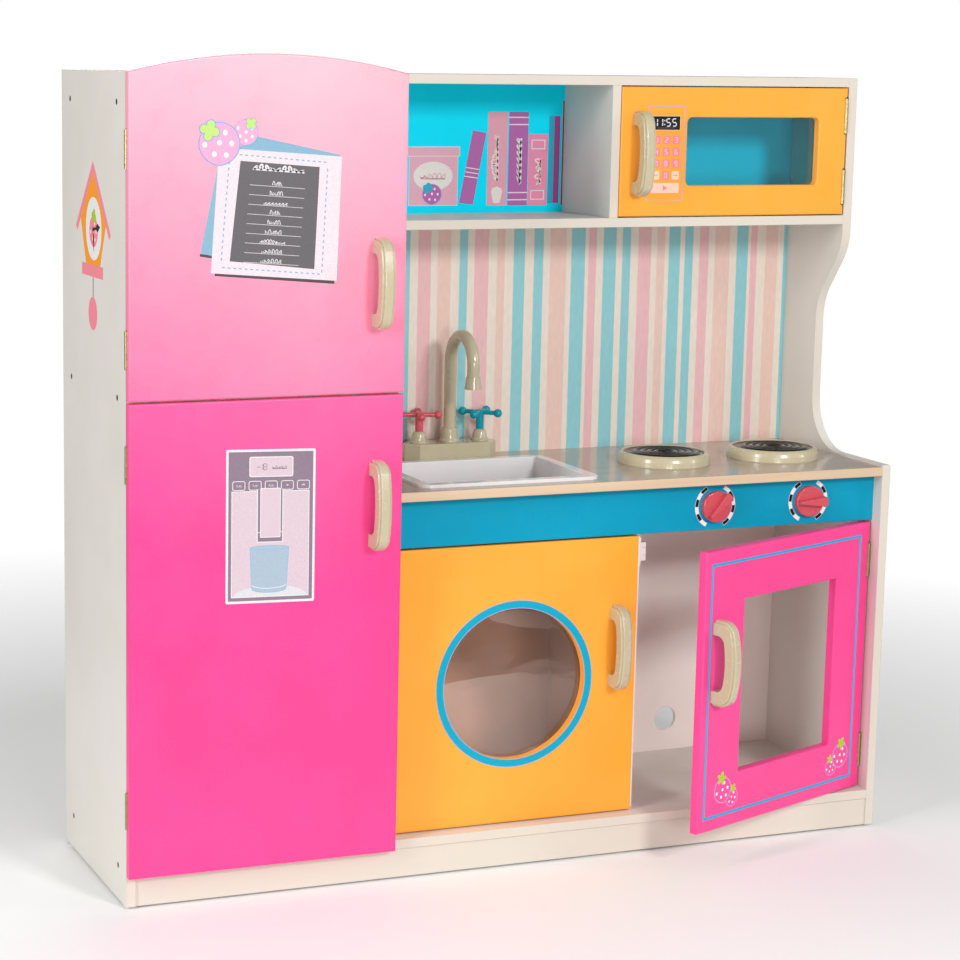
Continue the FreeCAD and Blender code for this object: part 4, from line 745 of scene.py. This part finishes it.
def print_washer_ring():
    """The blue ring round the washer's porthole."""
    art = Print("washer_porthole_ring", front_of("washer_door"))
    low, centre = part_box("washer_door")[0], film_disc()[0]
    u, v = (centre.x - low.x) / MM, (centre.z - low.z) / MM
    art.ring("ring_blue", ellipse(u, v, 103.6, 103.6, 120), 9.8)
    for radius in (98.9, 108.7):
        art.ring("lilac", ellipse(u, v, radius, radius, 120), 0.8, 1)
    art.done("washer_door")


def oven_face():
    """The front of the oven door, which stands ajar: u from its hinge axis, v from the floor."""
    joint = JOINTS["oven_door_hinge"]
    angle = math.radians(-joint["range_deg"][0])
    across = Vector((math.cos(angle), math.sin(angle), 0))
    axis = Vector((joint["pos_m"][0], joint["pos_m"][1], 0))
    proud = (axis.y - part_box("control_fascia")[0].y) / MM
    return Face(axis, across).raised(proud)


def print_oven():
    """Blue line and strawberries of the oven door."""
    art = Print("oven_door_print", oven_face())
    art.ring("line_blue", panel(-329.5, 71.5, -19.8, 400), 3.6)
    for u, v, size, tilt in ((-274.4, 90.6, 12.0, -12), (-293.2, 103.5, 16.6, 10), (-63.2, 90.8, 11.6, 12),
                             (-43.7, 103.5, 16.6, -6)):
        layer = 1 if size < 13 else 5
        berry(art, OVEN_BERRY, u, v, size, tilt, layer, leaf_at=(0.0, 0.98), star=True)
    art.done("oven_door")


def print_shelf():
    """Jar and books printed on the blue back of the open shelf."""
    art = Print("shelf_books_print", front_of("hutch_back_panel"))
    for part, line, layer in (((116.2, 16.0, 185.6, 80.4), 0.6, 0), ((113.6, 80.6, 188.0, 92.6), 0.9, 1)):
        art.outlined("jar_pink", "jar_line", panel(*part), line, layer)
    art.fill("cream_label", ellipse(150.4, 54.4, 28.0, 19.0), 1)
    art.stroke("book_rose", scribble(132, 50.5, 36, 8.0, 6), 1.1, 2)
    berry(art, JAR_BERRY, 149.2, 30.5, 13.6, layer=2, leaf_at=(-0.45, 0.62))
    lean = [(188.4, 18.9), (208.6, 16.4), (226.0, 111.1), (206.3, 114.4)]
    art.fill("purple", lean)
    for share in (0.37, 0.43, 0.49):
        ends = [Vector(lean[a]).lerp(Vector(lean[b]), share) for a, b in ((0, 3), (1, 2))]
        art.stroke("white", ends, 1.2, 1)
    art.fill("book_rose", panel(228.2, 15.0, 257.0, 138.6))
    art.stroke("cream_label", turned(scribble(243.6, 47.0, 60, 9.5, 8)), 2.0, 1)
    cake = [(234.5, 34), (238, 18.5), (247.5, 18.5), (251, 34), (249, 38), (243, 40.5), (237, 38.5)]
    art.fill("cream_label", cake, 1)
    art.fill("purple", panel(258.8, 15.0, 287.4, 138.6))
    for v in (22.5, 32.0, 122.0, 131.5):
        art.stroke("white", [(258.8, v), (287.4, v)], 1.5, 1)
    art.stroke("white", turned(scribble(277.4, 44.0, 60, 9.5, 7)), 2.6, 1)
    art.fill("book_pink", panel(288.2, 15.0, 316.8, 109.6))
    for v in (23.0, 90.0):
        art.ring("white", panel(293.0, v, 312.0, v + 11.5), 1.2, 1)
    art.stroke("cream_label", turned(scribble(306.6, 43.0, 34, 8.5, 5)), 1.8, 1)
    art.fill("teal_leaf", panel(317.6, 17.6, 325.4, 133.4))
    art.fill("deep_purple", panel(325.6, 17.6, 334.2, 133.4))
    art.fill("red_edge", panel(337.6, 15.0, 339.8, 154.0))
    art.done("cabinet")


def print_dials():
    """Black and white dashes round each hob knob; angles from straight up, in degrees."""
    radius, dashes, first, last = 27.0, 6, 28.0, 152.0
    step = (last - first) / dashes
    for side in ("left", "right"):
        knob = Vector(JOINTS[side + "_knob_turn"]["pos_m"])
        art = Print(side + "_dial_print", Face((knob.x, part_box("control_fascia")[0].y, knob.z), X))
        for mirrored in (1, -1):
            art.stroke("jar_line", arc(0, 0, mirrored * radius, radius, 63, -63, 42), 5.2)
            for k in range(dashes):
                dark = (k % 2 == 0) == (mirrored < 0)
                start = 90 - first - step * k
                dash = arc(0, 0, mirrored * radius, radius, start, start - step, 4)
                art.stroke("black" if dark else "white_plain", dash, 4.2, 1)
        art.done("cabinet")


# ---- splashback paper and worktop edge

STRIPES = (  # from the left: colour of the stripe, its width, and the cream gap after it
    ("peach", 19, 12), ("blue", 12, 10), ("pink", 20, 12), ("peach", 11, 8), ("blue", 15.8, 11.6),
    ("pink", 18.3, 9.9), ("peach", 19, 12.6), ("blue", 11.8, 10), ("pink", 20.6, 12.3), ("peach", 11.5, 12.9),
    ("blue", 16.6, 13.5), ("blue", 13.9, 10.2), ("peach", 24.3, 7.5), ("blue", 20.7, 5.2), ("pink", 11.8, 10.5),
    ("blue", 19.4, 9.6), ("blue", 12.4, 12), ("pink", 19.6, 9.2), ("peach", 12.1, 6.3), ("blue", 17.4, 7.3),
    ("blue", 12.7, 10.3), ("pink", 14.2, 9.8), ("peach", 23.6, 10.9), ("blue", 17.8, 4.5), ("pink", 10, 13.9),
    ("peach", 19.1, 9.5), ("blue", 20, 10))
PAPER_COLOUR = {"cream": (228, 216, 203), "pink": (229, 181, 183), "peach": (228, 195, 183), "blue": (140, 198, 205)}


def make_splashback():
    """Striped paper laminated on the splashback: one thin sheet, its front cut into stripes."""
    low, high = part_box("backsplash_panel")
    paper = {name: grained("paper_" + name, body, tuple(value * 0.975 for value in body), (260, 4, (1, 1, 0.3)),
                           (0.36, 0.46, 30, 3), (700, 3), 0.02) for name, body in PAPER_COLOUR.items()}
    cuts, tones, u = [0.0], [], 0.0
    width = (high.x - low.x) / MM
    for tone, stripe, cream in STRIPES:
        for name, span in ((tone, stripe), ("cream", cream)):
            if u < width:
                u = min(width, u + span)
                cuts.append(u)
                tones.append(name)
    back, front, inset = low.y - 0.02 * MM, low.y - 0.14 * MM, 0.15 * MM
    low_z, high_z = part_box("countertop")[1].z + inset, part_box("hutch_shelf")[0].z - inset
    points = []
    for i, cut in enumerate(cuts):
        x = low.x + cut * MM + (inset if i == 0 else -inset if i == len(cuts) - 1 else 0)
        points += [(x, y, z) for y, z in ((front, low_z), (front, high_z), (back, high_z), (back, low_z))]
    materials = [paper[tone] for tone in tones for side in range(4)] + [paper["cream"]] * 2
    sheet = Mesh("splashback_paper")
    sheet.faces(points, loft(len(cuts), 4), materials)
    sheet.done("cabinet", slot="striped_board")


def make_edge_band():
    """Beige band glued along the worktop's front edge."""
    low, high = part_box("countertop")
    grain = (60, 4, (0.06, 1, 1))
    beige = grained("edge_band_beige", (212, 186, 156), (204, 177, 146), grain, (0.40, 0.52, 40, 3), grain, 0.03)
    profile = [(0.02, 0.3), (0.30, 0.3), (0.45, 0.55), (0.5, 0.9), (0.5, 11.1), (0.45, 11.5), (0.30, 11.75),
               (0.02, 11.75)]  # how far out of the worktop's edge, and how far up it
    band = Mesh("worktop_edge_band")
    ends = [(x, low.y - out * MM, low.z + up * MM) for x in (low.x + 0.2 * MM, high.x - 0.2 * MM)
            for out, up in profile]
    band.faces(ends, loft(2, len(profile)), beige)
    band.done("cabinet", slot="worktop")


# ---- burner coils

COIL_TURNS, COIL_START, COIL_END, COIL_HALF_WIDTH = 4.3, 7.2, 47.0, 4.1
COIL_STEPS_PER_TURN, COIL_ARCH_STEPS, COIL_SQUARENESS = 60, 14, 1.8


def make_coil(side, plastic):
    """A flattened spiral heating coil, moulded in one with the dished plate under it."""
    node = side + "_burner_coil"
    low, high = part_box(node)
    coil = Mesh(node + "_spiral")
    plate_top = low.z + 0.9 * MM
    outer = (high.x - low.x) / 2 - 0.3 * MM
    rings = [(0.0, plate_top), (outer - 1.2 * MM, plate_top), (outer - 0.3 * MM, plate_top + 0.7 * MM),
             (outer, plate_top + 0.2 * MM), (outer, low.z + 0.05 * MM), (0.0, low.z + 0.05 * MM)]
    middle = Vector(((low.x + high.x) / 2, (low.y + high.y) / 2, 0))
    lathe(coil, middle, rings, 96, plastic)
    full_rise = (high.z - plate_top) / MM
    foot = middle + Z * (plate_top - 0.02 * MM)
    total = int(COIL_TURNS * COIL_STEPS_PER_TURN)
    points = []
    for i in range(total + 1):
        share = i / total
        angle = math.tau * COIL_TURNS * share
        radius = COIL_START + (COIL_END - COIL_START) * share
        taper = min(1.0, 0.35 + 12 * min(share, 1 - share))
        out = Vector((math.cos(angle), math.sin(angle), 0))
        for k in range(COIL_ARCH_STEPS + 1):
            swing = math.cos(math.pi * k / COIL_ARCH_STEPS)
            up = full_rise * taper * (1 - abs(swing) ** COIL_SQUARENESS)
            points.append(foot + out * (radius - swing * COIL_HALF_WIDTH * taper) * MM + Z * up * MM)
    coil.faces(points, loft(total + 1, COIL_ARCH_STEPS + 1), plastic, smooth=True)
    coil.done("cabinet", slot="black_plastic", replaces=(node,), smooth_below=50)


def lathe(target, foot, profile, steps, material):
    """A solid turned about the upright line through foot: profile is (radius, height), in foot's units."""
    points, polygons, rows = [], [], []
    for radius, height in profile:
        count = steps if radius > 0 else 1
        rows.append(list(range(len(points), len(points) + count)))
        for i in range(count):
            a = math.tau * i / steps
            points.append(foot + Z * height + (X * math.cos(a) + Y * math.sin(a)) * radius)
    for lower, upper in zip(rows, rows[1:]):
        for i in range(steps):
            j = (i + 1) % steps
            if len(lower) == 1:
                polygons.append((lower[0], upper[i], upper[j]))
            elif len(upper) == 1:
                polygons.append((lower[i], lower[j], upper[0]))
            else:
                polygons.append((lower[i], lower[j], upper[j], upper[i]))
    target.faces(points, polygons, material, smooth=True)


# ---- washer film

FILM_RINGS, FILM_SPOKES, FILM_MM = 46, 120, 0.25


def film_bulge(u, v):
    """How far the film bulges to the front, in millimetres; u and v in film radii from its middle."""
    r = min(1.0, math.hypot(u, v) / 0.86)
    free = (1 - r * r) ** 2 * (1 + 2 * r * r)
    sag = 3.2 * math.sin(2.1 * v + 0.5 * math.sin(2.6 * u) + 0.7)
    off_crease = v - 0.10 - 0.16 * math.sin(3.1 * u + 0.4)
    crease = 2.0 * math.exp(-(off_crease / 0.07) ** 2) * (0.6 + 0.4 * math.sin(7 * u))
    dent = 1.6 * math.exp(-((u - 0.55) ** 2 + (v + 0.02) ** 2) / 0.02)
    flap = 2.4 * math.exp(-((v - 0.62 + 0.25 * u * u) / 0.12) ** 2)
    return max(-0.2, 0.6 * free * (3.4 + sag + crease + dent + flap))


def make_film(material):
    """The clear film behind the porthole: flat where it is stapled, buckled in the middle."""
    centre, radius, front_y = film_disc()
    reach = radius - 0.5 * MM
    film = Mesh("washer_window_film_crinkled")
    rings, steps = FILM_RINGS, FILM_SPOKES
    front, back = [], []
    for j in range(rings + 1):
        for i in range(steps if j else 1):
            a = math.tau * i / steps
            u, v = j / rings * math.cos(a), j / rings * math.sin(a)
            x, z = centre.x + u * reach, centre.z + v * reach
            y = front_y + (0.05 - film_bulge(u, v)) * MM
            front.append((x, y, z))
            back.append((x, y + FILM_MM * MM, z))

    def spot(j, i):
        return 0 if j == 0 else 1 + (j - 1) * steps + i % steps

    polygons, offset = [], len(front)
    for i in range(steps):
        polygons.append((0, spot(1, i), spot(1, i + 1)))
        for j in range(1, rings):
            polygons.append((spot(j, i), spot(j + 1, i), spot(j + 1, i + 1), spot(j, i + 1)))
    polygons += [tuple(offset + k for k in reversed(polygon)) for polygon in polygons]
    for i in range(steps):
        a, b = spot(rings, i), spot(rings, i + 1)
        polygons.append((a, offset + a, offset + b, b))
    film.faces(front + back, polygons, material, smooth=True)
    film.done("washer_door", slot="clear_film", replaces=("washer_window_film",), smooth_below=40)


# ---- screws

HEAD_PROFILE = ((0.0, 0.0), (3.5, 0.0), (3.55, 0.35), (3.2, 1.15), (2.4, 1.75), (1.3, 2.05), (0.0, 2.15))
DOOR_MM = 12.0
HANDLE_SCREW_OFFSET = 45.5  # from the middle of a handle, up and down
OVEN_HANDLE_FROM_HINGE, OVEN_HANDLE_HEIGHT = 316.3, 275
FRIDGE_HINGE_HEIGHTS = {"upper_fridge": (680, 912), "lower_fridge": (125, 545)}
LEAF_MM, LEAF_SCREW_FROM_PIN, LEAF_SCREW_STEP = 0.7, 6.6, 15
PANEL_SCREW_INSET = 9.0


def head_template(steel):
    """Mesh of one pan head with a real cross recess, in millimetres, standing on the origin and facing +Z."""
    head = Mesh("head_template")
    lathe(head, Vector((0, 0, 0)), HEAD_PROFILE, 32, steel)
    cutter = Mesh("cross_template")
    for wide, deep in ((1.95, 0.42), (0.42, 1.95)):
        box = [(x * wide * f, y * deep * f, z) for z, f in ((0.95, 0.45), (3.0, 1.0))
               for x, y in ((-1, -1), (1, -1), (1, 1), (-1, 1))]
        cutter.faces(box, loft(2, 4), steel)
    body, cross = head.object(), cutter.object()
    cut = body.modifiers.new("recess", "BOOLEAN")
    cut.operation, cut.solver, cut.object, cut.use_self = "DIFFERENCE", "EXACT", cross, True
    bpy.context.view_layer.update()
    result = bpy.data.meshes.new_from_object(body.evaluated_get(bpy.context.evaluated_depsgraph_get()))
    for each in (body, cross):
        bpy.data.objects.remove(each)
    return result


def put_screws(name, body, template, spots, steel):
    """Copies of the pan head: each spot is a place in metres, the way it faces and its turn in degrees."""
    screws = Mesh(name)
    for place, facing, turn in spots:
        matrix = (Matrix.Translation(place) @ facing.to_track_quat("Z", "Y").to_matrix().to_4x4()
                  @ Matrix.Rotation(math.radians(turn), 4, "Z") @ Matrix.Scale(MM, 4))
        points = [matrix @ vertex.co for vertex in template.vertices]
        screws.faces(points, [tuple(polygon.vertices) for polygon in template.polygons], steel)
    screws.done(body, slot="screw_steel", smooth_below=35)


def flush_heads(name, body, face, spots, steel):
    """Countersunk heads level with a hinge leaf or a board, each with a cross."""
    art = Print(name, face)
    for number, (u, v) in enumerate(spots):
        art.fill(steel, ellipse(u, v, 2.1, 2.1, 28))
        for turn in (17 + 41 * number, 107 + 41 * number):
            du, dv = 1.3 * math.cos(math.radians(turn)), 1.3 * math.sin(math.radians(turn))
            art.stroke("black", [(u - du, v - dv), (u + du, v + dv)], 0.5, 1)
    art.done(body, slot="screw_steel")


def make_screws(steel):
    template = head_template(steel)
    for name in ("upper_fridge", "lower_fridge", "washer", "microwave"):
        low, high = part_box(name + "_handle")
        middle = Vector(((low.x + high.x) / 2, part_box(name + "_door")[1].y, (low.z + high.z) / 2))
        spots = [(middle + Z * side * HANDLE_SCREW_OFFSET * MM, Y, 20 + 33 * side) for side in (-1, 1)]
        put_screws(name + "_handle_screws", name + "_door", template, spots, steel)
    inside = oven_face().backside(DOOR_MM)
    middle = inside.at(OVEN_HANDLE_FROM_HINGE, OVEN_HANDLE_HEIGHT)
    spots = [(middle + Z * side * HANDLE_SCREW_OFFSET * MM, inside.out, 51 * side) for side in (-1, 1)]
    put_screws("oven_handle_screws", "oven_door", template, spots, steel)

    side_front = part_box("left_side_panel")[0].y
    for name, heights in FRIDGE_HINGE_HEIGHTS.items():
        hinge_x = JOINTS[name + "_door_hinge"]["pos_m"][0]
        steps = (-LEAF_SCREW_STEP, 0, LEAF_SCREW_STEP)
        for part, body, y, right in (("cabinet", "cabinet", side_front, 1),
                                     ("door", name + "_door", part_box(name + "_door")[1].y, -1)):
            face = Face((hinge_x, y, 0), X * right).raised(LEAF_MM)
            spots = [(right * LEAF_SCREW_FROM_PIN, height + step) for height in heights for step in steps]
            flush_heads(f"{name}_{part}_leaf_screws", body, face, spots, steel)

    for name in ("hutch_back_panel", "backsplash_panel", "lower_back_panel", "fridge_back_panel"):
        low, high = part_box(name)
        left, right = -high.x / MM + PANEL_SCREW_INSET, -low.x / MM - PANEL_SCREW_INSET
        bottom, top = low.z / MM + PANEL_SCREW_INSET, high.z / MM - PANEL_SCREW_INSET
        columns = [left + (right - left) * i / 4 for i in range(5)]
        spots = [(u, v) for u in columns for v in (bottom, top)] + [(u, (bottom + top) / 2) for u in (left, right)]
        flush_heads(name + "_screws", "cabinet", Face((0, high.y, 0), -X), spots, steel)


# ---- assembling the looks

OWN_LOOKS = {
    "upper_pink_sheen": ("upper_fridge_door",), "lower_pink_sheen": ("lower_fridge_door",), "side_screws": ("panel_screws",),
    "inside_board_painted_light": ("lower_back_panel", "middle_divider"),
    "tap_plastic": ("tap_spout", "spout_collar", "tap_deck", "hot_tap_bell", "cold_tap_bell")}


def dress_nodes(paint):
    """Every CAD node gets its slot's material, and some then one of their own."""
    looks = {entry["node"]: paint[entry["material_slot"]] for entry in frame["record"]["subparts"]}
    for own, names in OWN_LOOKS.items():
        looks.update((name, paint[own]) for name in names)
    for name, material in looks.items():
        mesh = frame["nodes"][name].data
        mesh.materials.clear()
        mesh.materials.append(material)


make_camera()
make_stage()
PAINT = make_materials()
dress_nodes(PAINT)
for make in (print_note, print_dispenser, print_clock, print_keypad, print_washer_ring, print_oven, print_shelf,
             print_dials, make_splashback, make_edge_band):
    make()
for hob_side in ("left", "right"):
    make_coil(hob_side, PAINT["black_plastic"])
make_film(PAINT["clear_film"])
make_screws(PAINT["screw_steel"])
